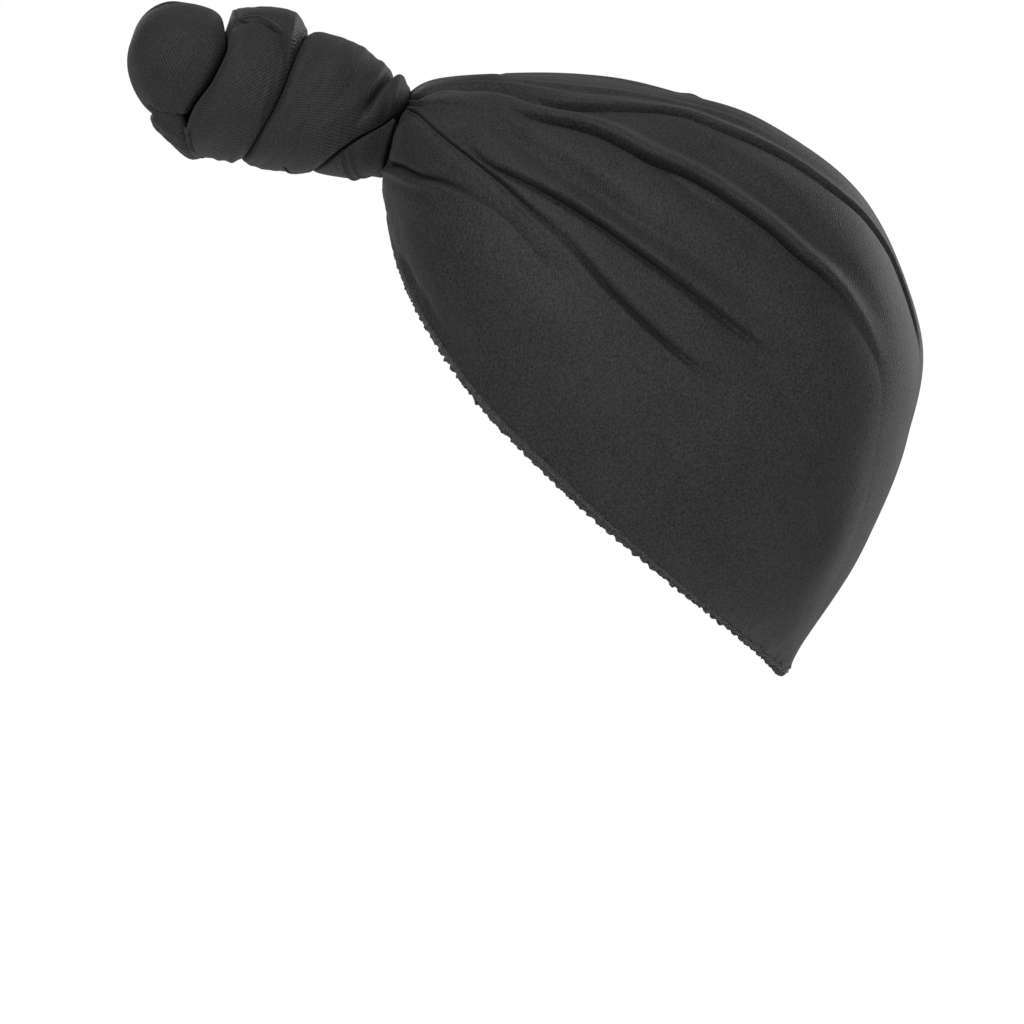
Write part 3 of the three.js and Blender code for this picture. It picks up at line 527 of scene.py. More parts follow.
def fine_relief(k, t, side):
    """Fine pleat lines by the crown, soft ripples that fan from the knot, and the hem's puckers."""
    far = side < 0
    arc = form_section(k)["arc"]
    across, near_hem = t * arc, (1 - t) * arc
    share = t / np.maximum(creases(k, side)[0], CROWN_LINES["least_share"])
    lines = CROWN_LINES["high"] * np.cos(2 * np.pi * share * CROWN_LINES["count"])
    lines *= between(CROWN_LINE_SHARES, share) * between(CROWN_LINES, k)
    fan, pucker, soft = FAN_RIPPLES, HEM_PUCKERS, SOFT_SWELL
    ripples = random_relief(fan, t * fan["spread"], k * fan["run"], far)
    relief = lines + ripples * between(fan, k)
    for valley in HEM_VALLEYS:
        relief -= valley["deep"] * bell(near_hem - valley["away"], valley["wide"]) * between(valley, k)
    along = through(np.arange(LAST_SECTION + 1.0), k) * pucker["run"]
    puckers = random_relief(pucker, along, near_hem * pucker["slant"], far)
    relief += puckers * bell(near_hem, pucker["reach"]) * ease(*pucker["comes"], k)
    swell = random_relief(soft, k * soft["run"], across, far) * ease(*soft["comes"], k)
    pleat = bell(t - FAR_PLEAT["share"], FAR_PLEAT["share"]) * between(FAR_PLEAT, k)
    swell = swell + FAR_PLEAT["far" if far else "near"] * pleat
    if far:
        bump = bell(t - FAR_BUMP["share"], FAR_BUMP["wide"])
        swell = swell + FAR_BUMP["high"] * bump * bell(k - FAR_BUMP["section"], FAR_BUMP["long"])
    return relief + swell * (1 - ease(*soft["goes"], k))


def cap_columns(k, side):
    """Shares t of the grid lines: each panel's lines crowd towards the creases at its two ends."""
    ends = [np.zeros_like(k), *creases(k, side), np.ones_like(k)]
    columns = []
    for steps, low, high in zip(PANEL_STEPS, ends[:-1], ends[1:]):
        q = np.arange(steps) / steps
        s = q - STEP_SHARPNESS * np.sin(2 * np.pi * q) / (2 * np.pi)
        columns.append(low[:, None] + (high - low)[:, None] * s)
    columns.append(np.ones((len(k), 1)))
    return np.concatenate(columns, 1)


def cap_side(k, side):
    """Outer points, normals, shares and heights of one side's grid."""
    t = cap_columns(k, side)
    kk = np.broadcast_to(k[:, None], t.shape)
    height, slide = fold_relief(kk, t, side)
    calm = ease(0, CENTRE_CALM, t)
    height = height + fine_relief(kk, t, side) * calm
    normal, down = form_frame(kk, t * side)
    point = form_point(kk, t * side) + normal * height[..., None]
    point = point + down * (side * slide * calm)[..., None]
    return point, normal, t, height


def gathered_cloth(material):
    """The cap's wall: an outer grid, the form's points with the relief added along the normal; an
    inner grid on every fourth line, a wall's depth below the form; and rims between them."""
    k = np.linspace(0, LAST_SECTION, CAP_ROWS)
    left, left_normal, left_t, left_height = cap_side(k, 1)
    right, right_normal, right_t, right_height = cap_side(k, -1)
    outer = np.concatenate([right[:, :0:-1], left], 1)
    normal = np.concatenate([right_normal[:, :0:-1], left_normal], 1)
    t = np.concatenate([-right_t[:, :0:-1], left_t], 1)
    height = np.concatenate([right_height[:, :0:-1], left_height], 1)
    kk = np.broadcast_to(k[:, None], t.shape)
    arc = form_section(kk)["arc"]
    steps = np.linalg.norm(np.diff(form_point(k, 0.5 + 0 * k), axis=0), axis=1)
    run = np.concatenate([[0], np.cumsum(steps)])
    # The knit's wales turn from the line of the pleats towards the upright at the back.
    lean = WALE_LEAN + WALE_MORE * ease(*WALE_TURNS, kk)
    down, along = (np.abs(t) - 0.5) * arc, np.broadcast_to(run[:, None], t.shape)
    uv = np.stack([down * np.cos(lean) + along * np.sin(lean),
                   along * np.cos(lean) - down * np.sin(lean)], -1)
    depth = np.maximum(CLOTH_WALL, LEAST_WALL - height)
    inner = (form_point(kk, t) - normal * depth[..., None])[::INNER_EVERY, ::INNER_EVERY]
    number = np.arange(outer[..., 0].size).reshape(outer.shape[:2])
    inner_number = number.size + np.arange(inner[..., 0].size).reshape(inner.shape[:2])
    inner_uv = uv[::INNER_EVERY, ::INNER_EVERY]
    faces, uvs = grid_faces(number, uv)
    more, more_uv = grid_faces(inner_number, inner_uv, flip=True)
    faces += more
    uvs += more_uv
    # Rims: each inner step is joined to the four outer steps beside it.
    rims = ((number[0], inner_number[0], uv[0], True), (number[-1], inner_number[-1], uv[-1], False),
            (number[:, 0], inner_number[:, 0], uv[:, 0], False),
            (number[:, -1], inner_number[:, -1], uv[:, -1], True))
    for edge, inside, places, flip in rims:
        steps = np.arange(len(inside) - 1)[:, None] * INNER_EVERY + np.arange(INNER_EVERY + 1)
        ring = np.concatenate([edge[steps], inside[1:, None], inside[:-1, None]], 1)
        corner_uv = np.concatenate([places[steps], places[steps[:, [-1, 0]]]], 1)
        if flip:
            ring, corner_uv = ring[:, ::-1], corner_uv[:, ::-1]
        faces += ring.tolist()
        uvs += corner_uv.reshape(-1, 2).tolist()
    points = np.concatenate([outer.reshape(-1, 3), inner.reshape(-1, 3)])
    cap = closed_piece("cap_cloth", points, faces, uvs, material)
    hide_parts("gathered_cap")
    return cap


# The hem

def hem_line(count):
    """Evenly spaced points round the hem, from the right of the knot past the nape to its left,
    with the directions out of the cloth and down from it, and each point's distance."""
    i = np.linspace(-1, 1, 2001)
    k = LAST_SECTION - i**2 * (LAST_SECTION - HEM_FROM)
    point = form_point(k, np.where(i < 0, -1.0, 1.0))
    reach = np.concatenate([[0], np.cumsum(np.linalg.norm(np.diff(point, axis=0), axis=1))])
    goal = np.linspace(0, reach[-1], count)
    at = np.stack([np.interp(goal, reach, point[:, c]) for c in range(3)], -1)
    nape = reach[len(i) // 2]
    out, _ = form_frame(np.interp(goal, reach, k), np.where(goal < nape, -1.0, 1.0))
    ahead = unit(np.gradient(at, axis=0))
    out = unit(out - ahead * (out * ahead).sum(-1, keepdims=True))
    down = unit(np.cross(out, ahead))
    return at, out, down, goal


def hem_shape(goal, w, length):
    """Offsets down and out of the bound edge at distance goal and share w of the way across it:
    a sine of the ruffle's pitch whose swing grows with w, with soft random wander."""
    ends = np.minimum(goal, length - goal)
    full = ease(*HEM_FULL, ends)
    ruffled = ease(*RUFFLE_COMES, ends)
    uneven = (RUFFLE_UNEVEN["least"] + random_relief(RUFFLE_UNEVEN, goal, 0 * goal)) * ruffled
    turn = 2 * np.pi * goal / RUFFLE_PITCH
    wander = random_relief(RUFFLE_WANDER, goal, 0 * goal)
    swing = np.sin(turn + wander) * (RUFFLE_SWING[0] + RUFFLE_SWING[1] * w) * uneven
    frill = random_relief(RUFFLE_FRILL, goal, 0 * goal) * w * ruffled
    least, widens, slow = HEM_WIDTHS
    width = HEM_WIDTH * (least + widens * ease(*HEM_WIDENS, ends) + slow * np.sin(turn * 0.5 + wander))
    lobes = np.sin(turn + 1 + wander + 0.5 * np.sin(turn + wander))
    width = width * (1 - RUFFLE_LOBE * (1 - ruffled)) + RUFFLE_LOBE * lobes * uneven
    return width * w, (swing + frill) * RUFFLE_SHARE, full


def overlocked_edge(material):
    """A flat rounded band carried along the hem; its swing grows towards the ruffled edge."""
    at, out, down, goal = hem_line(1600)
    sides = 14
    angle = 2 * np.pi * np.arange(sides) / sides
    w = 0.5 - 0.5 * np.cos(angle)
    low, swing, full = hem_shape(goal[:, None], w[None, :], goal[-1])
    half = HEM_THICK / 2 * (0.45 + 0.4 * full) * np.sin(angle)
    rough = random_relief(EDGE_ROUGH, goal[:, None], w[None, :] * 3 + 2 * np.sin(angle))
    lift = half + swing - CLOTH_WALL / 2 - (1 - full) * CLOTH_WALL + rough
    ring = at[:, None] + down[:, None] * (SMALL_GAP + low)[..., None] + out[:, None] * lift[..., None]
    round_uv = np.arange(sides + 1) * (2 * HEM_WIDTH / sides)
    uv = np.stack(np.broadcast_arrays(goal[:, None], round_uv[None, :]), -1)
    band = sweep("overlocked_edge", ring, uv, material)
    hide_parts("edge_overlock")
    return band


def looper_threads(material, chain_material):
    """The threads that wrap the edge: one loop over it each stitch, and chain lines along it."""
    at, out, down, goal = hem_line(3200)
    length = goal[-1]

    def on_edge(distance, w, proud):
        low, swing, full = hem_shape(distance, w, length)
        point, drop, outward = (np.stack([np.interp(distance, goal, a[:, c]) for c in range(3)], -1)
                                for a in (at, down, out))
        lift = swing - CLOTH_WALL / 2 + proud - (1 - full) * CLOTH_WALL
        return point + drop * (SMALL_GAP + low)[..., None] + outward * lift[..., None]

    share = np.linspace(0, 1, 6)
    start = (np.arange(int(length / STITCH_PITCH)) + 0.5)[:, None] * STITCH_PITCH
    place = start + STITCH_LEAN * share[None, :] + random_relief(STITCH_WANDER, start, start * 0)
    w = 0.02 + 0.98 * np.sin(share * np.pi / 2)[None, :] + 0 * place
    arch = HEM_THICK / 2 * 0.9 * np.sqrt(np.maximum(1 - (2 * w - 1) ** 2, 0)) + 0.05
    front = on_edge(place, w, arch)
    back = on_edge(place + 0.5, w, -arch)
    loops = np.concatenate([front, back[:, ::-1][:, 1:]], 1)
    loop_piece = tubes("looper_threads", loops, LOOPER_RADIUS, material, sides=4)

    step = np.linspace(1, length - 1, 1100)
    chain_lines = []
    for across, proud, phase in CHAIN_LINES:
        wobble = 0.04 * np.sin(step * 2 * np.pi / STITCH_PITCH + phase)
        chain_lines.append(on_edge(step, across + wobble * 0.6, proud + wobble))
    chain = tubes("needle_threads", np.stack(chain_lines), CHAIN_RADIUS, chain_material, sides=6)
    return loop_piece, chain


# The knot

def knot_read(name, s):
    return smooth_read(WINDING["along"], WINDING[name], s)


def knot_point(s, degrees, out):
    """A point s along the knot's line, turned from the top to the left, out from its middle."""
    turn = np.radians(degrees)
    lift = knot_read("lift", s) + out * np.cos(turn)
    y = KNOT_FOOT[0] - s * math.cos(KNOT_RISE) + lift * math.sin(KNOT_RISE)
    z = KNOT_FOOT[1] + s * math.sin(KNOT_RISE) + lift * math.cos(KNOT_RISE)
    return np.stack([out * np.sin(turn), y, z], -1)


def groove_at(turn):
    return smooth_read(GROOVE_TURN, GROOVE_ALONG, turn)


def strand_surface(turn, w):
    """Distance along the knot and outer radius at a turn angle and share w across the strand."""
    start = groove_at(turn) + SMALL_GAP
    end = groove_at(turn + 360) - SMALL_GAP - TIP_LAP * bell(turn - 360 - TIP_LAP_TURN, TIP_LAP_WIDE)
    s = start + (end - start) * w
    in_from_edge = np.clip(np.minimum(s - start, end - s) / STRAND_EDGE, 0, 1)
    roll = STRAND_ROLL * (1 - np.sqrt(np.maximum(1 - (1 - in_from_edge) ** 2, 0)))
    # Beside the tip the upper edge stays full on top; each coil swells where it crosses the left side.
    roll = roll * (1 - FULL_EDGE["share"] * bell(turn - FULL_EDGE["turn"], FULL_EDGE["wide"]) * (w > 0.5))
    swell = sum(coil["high"] * bell(turn - coil["turn"], coil["wide"]) for coil in COIL_SWELLS)
    swell = (4 * w * (1 - w) - SWELL_REST) * swell
    past_flap = turn - 360 - smooth_read(FLAP_W, FLAP_REACH, w)
    lap_line = LAP_LINE["deep"] * bell(past_flap - LAP_LINE["past"], LAP_LINE["wide"])
    lap_line = lap_line * ease(*LAP_LINE["comes"], w)
    root = s - ROOT_ALONG - turn * ROOT_LEAN
    crease = ROOT_CREASE["deep"] * bell(root, ROOT_CREASE["wide"])
    crease = crease - ROOT_CREASE["rim"] * bell(root + ROOT_CREASE["rim_away"], ROOT_CREASE["rim_wide"])
    crease = crease * (1 - ease(*ROOT_CREASE["fades"], np.abs(turn - ROOT_CREASE["turn"])))
    faint_at = FAINT_LINE["along"] + FAINT_LINE["lean"] * (turn - FAINT_LINE["from_turn"])
    faint = FAINT_LINE["deep"] * bell(s - faint_at, FAINT_LINE["wide"])
    faint = faint * (1 - ease(*FAINT_LINE["fades"], np.abs(turn - FAINT_LINE["turn"])))
    around = turn * np.pi / 180 * RELIEF_ROUND
    pleats = random_relief(FAN_PLEATS, around * 0.12 + s, s * 0.9) * bell(w, FAN_PLEATS["near"])
    pleats = pleats + random_relief(FINE_PLEATS, around * 0.1, s - start)
    pleats = pleats + random_relief(SOFT_WAVES, around, s * 1.5)
    relief = pleats * ease(0, 0.5, in_from_edge) - faint
    dives = STRAND_DIVE * ease(*STRAND_DIVES, turn)
    return s, knot_read("round", s) - roll - crease + relief - dives + swell - lap_line


def wale_skew(turn):
    """How far the wales lean along the strand: mm along for each mm round the knot."""
    return WALE_SLANT + sum(wales["slant"] * between(wales, turn) for wales in (LOW_WALES, UPPER_WALES))


def strand_uv(turn, s):
    """Cloth coordinates of the strand, in which a wale is a line of equal second value. The run
    round the knot is summed degree by degree, so the wales keep their spacing where they turn."""
    degrees = np.arange(-80.0, 1100.0)
    leans = wale_skew(degrees)
    run = np.radians(1) * CLOTH_ROUND / np.sqrt(1 + leans**2)
    lean = wale_skew(turn)
    middle = (groove_at(turn) + groove_at(turn + 360)) / 2
    off = (s - middle) / np.sqrt(1 + lean**2)
    return np.stack([off - CROSS_DRIFT * np.interp(turn, degrees, np.cumsum(run * leans)),
                     np.interp(turn, degrees, np.cumsum(run)) + lean * off], -1)


def wound_coils(material):
    """The strand: sections across its width at even steps of turn, rolled under at both edges."""
    turn = np.arange(STRAND_FROM, STRAND_TO + 1, TURN_STEP)[:, None]
    q = np.linspace(0, 1, 73)
    w = (q - COIL_SHARPNESS * np.sin(2 * np.pi * q) / (2 * np.pi))[None, :]
    s, out = strand_surface(turn, w)
    top = knot_point(s, turn + 0 * s, np.maximum(out, CORE_HOLE + 0.8))
    inner = knot_point(s[:, ::-12], turn + 0 * s[:, ::-12], CORE_HOLE + 0 * s[:, ::-12])
    ring = np.concatenate([top, inner], 1)
    flat = strand_uv(turn + 0 * s, s)
    uv = np.concatenate([flat, flat[:, ::-12], flat[:, :1]], 1)
    coils = sweep("wound_coils", ring, uv, material)
    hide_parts("wound_strand")
    return coils


def inner_wrap(material):
    """The tight first turn round the foot: its edges roll in as (1 - x^6)^(1/4), and two fine
    folds, bells across the cloth, run along it."""
    turn = np.arange(UNDER_FROM, STRAND_FROM, TURN_STEP)[:, None]
    far = np.maximum(groove_at(turn + 360) - WRAP_GAP, KNOT_START + 1)
    q = np.linspace(0, 1, 49)[None, :]
    near_foot = KNOT_START - WRAP_FOOT["drop"] * bell(turn - WRAP_FOOT["turn"], WRAP_FOOT["wide"])
    s = near_foot + (far - near_foot) * q
    roll = 1 - (1 - np.abs(2 * q - 1) ** 6) ** 0.25
    line = WRAP_FOLD_LINE
    from_line = s - line["along"] + line["lean"] * (turn - line["from_turn"])
    folds = sum(high * bell(from_line + away, wide) for high, away, wide in WRAP_FOLDS)
    folds = folds * (1 - ease(*line["fades"], np.abs(turn - line["turn"])))
    out = knot_read("round", s) - WRAP_BELOW - roll * WRAP_ROLL + folds
    top = knot_point(s, turn + 0 * s, out)
    inner = knot_point(s[:, ::-8], turn + 0 * s[:, ::-8], CORE_HOLE + 0 * s[:, ::-8])
    ring = np.concatenate([top, inner], 1)
    around = np.broadcast_to(np.radians(turn) * WRAP_CLOTH_ROUND, s.shape)
    back = np.zeros((len(turn), inner.shape[1] + 1))
    uv = np.stack([np.concatenate([s, back], 1), np.concatenate([around, back + around[:, :1]], 1)], -1)
    wrap = sweep("inner_wrap", ring, uv, material)
    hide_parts("under_wrap")
    return wrap


def lapped_flap(material):
    """The strand's fold over the second coil: a lens between a lower and an upper surface."""
    p = np.linspace(0, 1, 61)[:, None]
    q = np.linspace(0, 1, 41)
    w = (FLAP_W[0] + (FLAP_W[-1] - FLAP_W[0]) * q)[None, :]
    reach = smooth_read(FLAP_W, FLAP_REACH, w)
    thick = smooth_read(FLAP_W, FLAP_THICK, w)
    plump = np.sqrt(np.maximum(1 - np.abs(2 * p - 1) ** 3.2, 0))
    edge = np.sqrt(np.maximum(1 - np.abs(2 * q[None, :] - 1) ** 2.6, 0))
    turn = 360 - FLAP_TAIL + (reach + FLAP_TAIL) * p
    s, out = strand_surface(turn, w)
    lower = knot_point(s, turn, out + SMALL_GAP)
    upper = knot_point(s, turn, out + FLAP_LEAST + 0.2 * edge + (thick + FLAP_PUFF) * plump * edge)
    ring = np.concatenate([lower, upper[:, ::-1]], 1)
    flat = strand_uv(turn, s)
    uv = np.concatenate([flat, flat[:, ::-1], flat[:, :1]], 1)
    flap = sweep("lapped_flap", ring, uv, material)
    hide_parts("over_strand")
    return flap


def rounded_tip(material):
    """The bulb: turned rings whose radius falls off as (1 - x^a)^(1/b) from its widest place."""
    degrees = np.arange(0, 360, TURN_STEP)[None, :]
    u = np.linspace(0, 1, 110)
    w = (0.5 - 0.5 * np.cos(u * np.pi))[:, None] * 0.995
    start = groove_at(720 + degrees) + SMALL_GAP - TIP_LAP * bell(degrees - TIP_LAP_TURN, TIP_LAP_WIDE)
    s = start + (TIP_END - start) * w
    rear = w < TIP_WIDEST
    x = np.where(rear, 1 - w / TIP_WIDEST, (w - TIP_WIDEST) / (1 - TIP_WIDEST))
    a, b = (np.where(rear, at_rear, at_front) for at_rear, at_front in zip(REAR_POWERS, FRONT_POWERS))
    out = TIP_ROUND * (1 - np.clip(x, 0, 1) ** a * 0.999) ** (1 / b)
    soft = random_relief(TIP_WAVES, s, np.radians(degrees) * TIP_CLOTH_ROUND)
    out = out + soft * np.sin(np.pi * w)
    slant = TIP_FOLD_LEAN * (s - TIP_FOLD_FROM)
    for line in (TIP_LIP, TIP_GROOVE):
        out = out + line["high"] * bell(degrees - line["turn"] - slant, line["wide"]) * between(line, s)
    lip = bell(degrees - TIP_LIP["turn"] - slant, TIP_LIP["wide"]) * between(TIP_LIP, s)
    gathers = np.cos((degrees - TIP_LIP["turn"]) * TIP_PUCKER_TURN) * np.sin(s * TIP_PUCKER_RUN)
    out = out + TIP_PUCKER * gathers * lip
    for spot in (TIP_HOLE, TIP_NUB):
        around = (degrees - spot["turn"]) * TIP_MM_PER_DEGREE / spot["wide"]
        out = out + spot["high"] * bell(np.hypot((s - spot["along"]) / spot["long"], around), 1)
    ring = knot_point(s, degrees + 0 * s, np.maximum(out, 0.3))
    around = np.radians(np.concatenate([degrees, [[360.0]]], 1)) * TIP_CLOTH_ROUND
    s_wrapped = np.concatenate([s, s[:, :1]], 1)
    lean_cos, lean_sin = math.cos(TIP_WALE_LEAN), math.sin(TIP_WALE_LEAN)
    uv = np.stack([s_wrapped * lean_cos + around * lean_sin,
                   around * lean_cos - s_wrapped * lean_sin], -1)
    tip = sweep("rounded_tip", ring, uv, material)
    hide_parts("tip_bulb")
    return tip


def tucked_roll(material):
    """The last end: an oval section carried round the underside of the tip, thin at both ends."""
    p = np.linspace(0, 1, 61)[:, None]
    turn = TUCK_TURNS[0] + (TUCK_TURNS[1] - TUCK_TURNS[0]) * p
    plump = 0.5 + 0.5 * np.sqrt(np.sin(np.pi * p))
    a = np.arange(0, 360, 12.0)[None, :]
    centre = TUCK_ALONG - TUCK_DRIFT * ease(0, 0.5, p)
    s = centre + np.cos(np.radians(a)) * (TUCK_WIDE + TUCK_WIDENS * ease(0.1, 0.5, p)) * plump
    middle = TUCK_OUT + TUCK_RISE * ease(0, 0.3, p) + TUCK_SLOPE * (TUCK_LEVEL - s)
    soft = random_relief(TUCK_WAVES, turn * TUCK_WAVES["run"], s)
    out = middle + np.sin(np.radians(a)) * TUCK_THICK * plump + soft
    ring = knot_point(s, turn + 0 * s, out)
    around = np.broadcast_to(np.radians(turn) * TUCK_CLOTH_ROUND, (len(p), a.shape[1] + 1))
    across = np.broadcast_to(np.radians(np.append(a[0], 360.0)) * TUCK_CLOTH_THICK, around.shape)
    uv = np.stack([across, around], -1)
    roll = sweep("tucked_roll", ring, uv, material)
    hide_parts("tucked_end")
    return roll


def loose_threads(material):
    """Three short ends that hang from the front of the hem by the knot: bent hairs of thread."""
    fall = np.linspace(0, 1, 9)[:, None]
    ends = []
    for lean, length, bend in LOOSE_ENDS:
        start = np.array(LOOSE_FROM) + np.array([6 * lean, 0, 0])
        hang = np.array([0.4 * lean, lean, -1.0]) * length
        ends.append(start + hang * fall + np.array([0, bend, 0]) * np.sin(np.pi * fall))
    piece = tubes("loose_threads", np.stack(ends), LOOSE_RADIUS, material)
    return piece


def wrapped_edges(material):
    """Overlocked edges that show in the knot: a thread wound round each edge, out by its radius."""
    w = np.linspace(*FLAP_EDGE_SHARES, 900)
    turn = 360 + smooth_read(FLAP_W, FLAP_REACH, w)
    s, out = strand_surface(turn, w)
    edges = [("flap_overlock", s, turn, out + FLAP_EDGE_PROUD, FLAP_EDGE_LOOP, FLAP_EDGE_WINDS)]
    edges += [(name, *[np.linspace(*ends, 420) for ends in places], loop, winds)
              for name, *places, loop, winds in WRAPPED_EDGES]
    for name, s, turn, out, loop, winds in edges:
        phase = np.linspace(0, winds * 2 * np.pi, len(s)) + 0.5 * np.sin(np.linspace(0, 37, len(s)))
        path = knot_point(s + loop * np.cos(phase), turn, out + 0.6 * loop * np.sin(phase))[None]
        tubes(name, path, WRAP_THREAD_RADIUS, material, sides=6)


def bunched_neck(material):
    """The cap's front drawn up through the knot: a column whose radius has a cosine's flutes."""
    s = np.linspace(NECK_FROM, NECK_TO, 60)[:, None]
    degrees = np.arange(0, 360, 2 * TURN_STEP)[None, :]
    flutes = FLUTE_HIGH * np.cos(np.radians(degrees) * NECK_FLUTES)
    ends = 0.8 + 0.2 * ease(NECK_FROM, NECK_FROM + 4, s) * ease(NECK_TO, NECK_TO - 4, s)
    out = (CORE_ROUND - 0.2 + flutes) * ends
    ring = knot_point(s + 0 * out, degrees + 0 * out, out)
    around = np.radians(np.concatenate([degrees, [[360.0]]], 1)) * CORE_ROUND
    uv = np.stack(np.broadcast_arrays(s, around), -1)
    neck = sweep("bunched_neck", ring, uv, material)
    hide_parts("gathered_neck")
    return neck


# Materials

def add(tree, kind, inputs=None, **settings):
    """Adds a node with its settings; an input takes a value or another node's output socket."""
    node = tree.nodes.new(kind)
    for name, value in settings.items():
        setattr(node, name, value)
    for name, value in (inputs or {}).items():
        if isinstance(value, bpy.types.NodeSocket):
            tree.links.new(value, node.inputs[name])
        else:
            node.inputs[name].default_value = value
    return node


def blank_material(name):
    material = bpy.data.materials.new(name)
    material.use_nodes = True
    material.node_tree.nodes.clear()
    return material, material.node_tree


def wave_scale(pitch):
    """A Wave Texture repeats every pi / 10 of its scaled coordinate."""
    return math.pi / 10 / (pitch * MM)


GRAIN_SIZE, GRAIN_RELIEF = 0.72, 0.26  # mm; drawn coarser than the yarn's own fuzz, so that it shows
MOTTLE_SIZE, MOTTLE_SHARE = 22, 0.2
COURSE_PITCH, COURSE_SHARE = 0.8, 0.35  # of the wales' pitch, and of their height
KNIT_RAMP, THREAD_RAMP = (0.46, 1.0), (0.35, 0.72)  # where the dark ends and where all is light
PLY_PITCH, LINT_SIZE, PLY_RELIEF = 0.55, 0.9, 0.1


def knit_material(name, dark, light, rib_pitch, rib_depth, rib_share, grain_share):
    """Weft-knit polyester and elastane jersey: matt filament loops in fine ribs, which give the eye
    a hatch of hairlines, a soft mottle and a pale bloom where the cloth turns away."""
    material, tree = blank_material(name)
    place = add(tree, "ShaderNodeTexCoord")
    ribs = add(tree, "ShaderNodeTexWave",
               {"Vector": place.outputs["UV"], "Scale": wave_scale(rib_pitch), "Distortion": 1.1,
                "Detail": 2.0, "Detail Scale": 0.35, "Detail Roughness": 0.5},
               wave_type="BANDS", bands_direction="Y", wave_profile="SIN")
    cross = add(tree, "ShaderNodeTexWave",
                {"Vector": place.outputs["UV"], "Scale": wave_scale(rib_pitch * COURSE_PITCH),
                 "Distortion": 1.6, "Detail": 2.0, "Detail Scale": 0.3},
                wave_type="BANDS", bands_direction="X", wave_profile="SIN")
    # Lint and uneven yarn, a little under a millimetre across as the eye meets it.
    grain = add(tree, "ShaderNodeTexNoise",
                {"Vector": place.outputs["Object"], "Scale": 1 / (GRAIN_SIZE * MM), "Detail": 2.0,
                 "Roughness": 0.6})
    mottle = add(tree, "ShaderNodeTexNoise",
                 {"Vector": place.outputs["Object"], "Scale": 1 / (MOTTLE_SIZE * MM), "Detail": 3.0})
    mix_grain = add(tree, "ShaderNodeMath", {0: grain.outputs["Fac"], 1: grain_share},
                    operation="MULTIPLY")
    with_ribs = add(tree, "ShaderNodeMath",
                    {0: ribs.outputs["Fac"], 1: rib_share, 2: mix_grain.outputs[0]},
                    operation="MULTIPLY_ADD")
    with_mottle = add(tree, "ShaderNodeMath",
                      {0: mottle.outputs["Fac"], 1: MOTTLE_SHARE, 2: with_ribs.outputs[0]},
                      operation="MULTIPLY_ADD")
    colour = add(tree, "ShaderNodeValToRGB", {"Fac": with_mottle.outputs[0]})
    for stop, position, shade in zip(colour.color_ramp.elements, KNIT_RAMP, (dark, light)):
        stop.position = position
        stop.color = linear(shade)
    loops = add(tree, "ShaderNodeMath",
                {0: cross.outputs["Fac"], 1: COURSE_SHARE, 2: ribs.outputs["Fac"]},
                operation="MULTIPLY_ADD")
    knit_bump = add(tree, "ShaderNodeBump",
                    {"Height": loops.outputs[0], "Strength": 0.8, "Distance": rib_depth * MM})
    grain_bump = add(tree, "ShaderNodeBump",
                     {"Height": grain.outputs["Fac"], "Strength": 0.9, "Distance": GRAIN_RELIEF * MM,
                      "Normal": knit_bump.outputs["Normal"]})
    cloth = add(tree, "ShaderNodeBsdfPrincipled",
                {"Base Color": colour.outputs["Color"], "Roughness": 0.6,
                 "Specular IOR Level": 0.22, "Sheen Weight": 0.07, "Sheen Roughness": 0.4,
                 "Sheen Tint": linear("#d8d8dc"), "Normal": grain_bump.outputs["Normal"]})
    add(tree, "ShaderNodeOutputMaterial", {"Surface": cloth.outputs["BSDF"]})
    return material


def thread_material(name, dark, light):
    """Textured overlock thread, spun and plied: darker than the cloth, with small bright hairs."""
    material, tree = blank_material(name)
    place = add(tree, "ShaderNodeTexCoord")
    ply = add(tree, "ShaderNodeTexWave",
              {"Vector": place.outputs["UV"], "Scale": wave_scale(PLY_PITCH), "Distortion": 1.5,
               "Detail": 2.0}, wave_type="BANDS", bands_direction="DIAGONAL")
    lint = add(tree, "ShaderNodeTexNoise",
               {"Vector": place.outputs["Object"], "Scale": 1 / (LINT_SIZE * MM), "Detail": 3.0,
                "Roughness": 0.7})
    colour = add(tree, "ShaderNodeValToRGB", {"Fac": lint.outputs["Fac"]})
    for stop, position, shade in zip(colour.color_ramp.elements, THREAD_RAMP, (dark, light)):
        stop.position = position
        stop.color = linear(shade)
    bump = add(tree, "ShaderNodeBump",
               {"Height": ply.outputs["Fac"], "Strength": 0.7, "Distance": PLY_RELIEF * MM})
    thread = add(tree, "ShaderNodeBsdfPrincipled",
                 {"Base Color": colour.outputs["Color"], "Roughness": 0.62,
                  "Specular IOR Level": 0.4, "Sheen Weight": 0.12, "Normal": bump.outputs["Normal"]})
    add(tree, "ShaderNodeOutputMaterial", {"Surface": thread.outputs["BSDF"]})
    return material


# Studio

CAMERA_AWAY, SENSOR = 8.0, 36  # metres, mm
ROOM_FILL = 0.3
FLOOR_SIDE, FLOOR_HEIGHT, FLOOR_GLOW = 8, -1.5, 0.3
# Softboxes: name, place and aim in metres, sides in metres, power in watts.
SOFTBOXES = (
    ("key", (1.9, -0.7, 1.3), (0, 0, -0.08), (1.0, 1.0), 42),
    ("overhead", (0.1, 0.0, 1.7), (0, 0, -0.05), (1.2, 1.2), 5.5),
    ("behind", (-1.5, 1.4, 0.35), (0, 0.05, -0.08), (0.7, 1.5), 17),
    ("back_fill", (0.9, 1.9, 0.2), (0, 0.05, -0.08), (1.0, 1.0), 8),
    ("far_fill", (-1.9, -0.9, 0.7), (0, -0.03, -0.08), (1.0, 1.0), 7),
    ("low_front", (1.6, -1.3, -0.7), (0, 0, -0.08), (1.0, 1.0), 3),
)


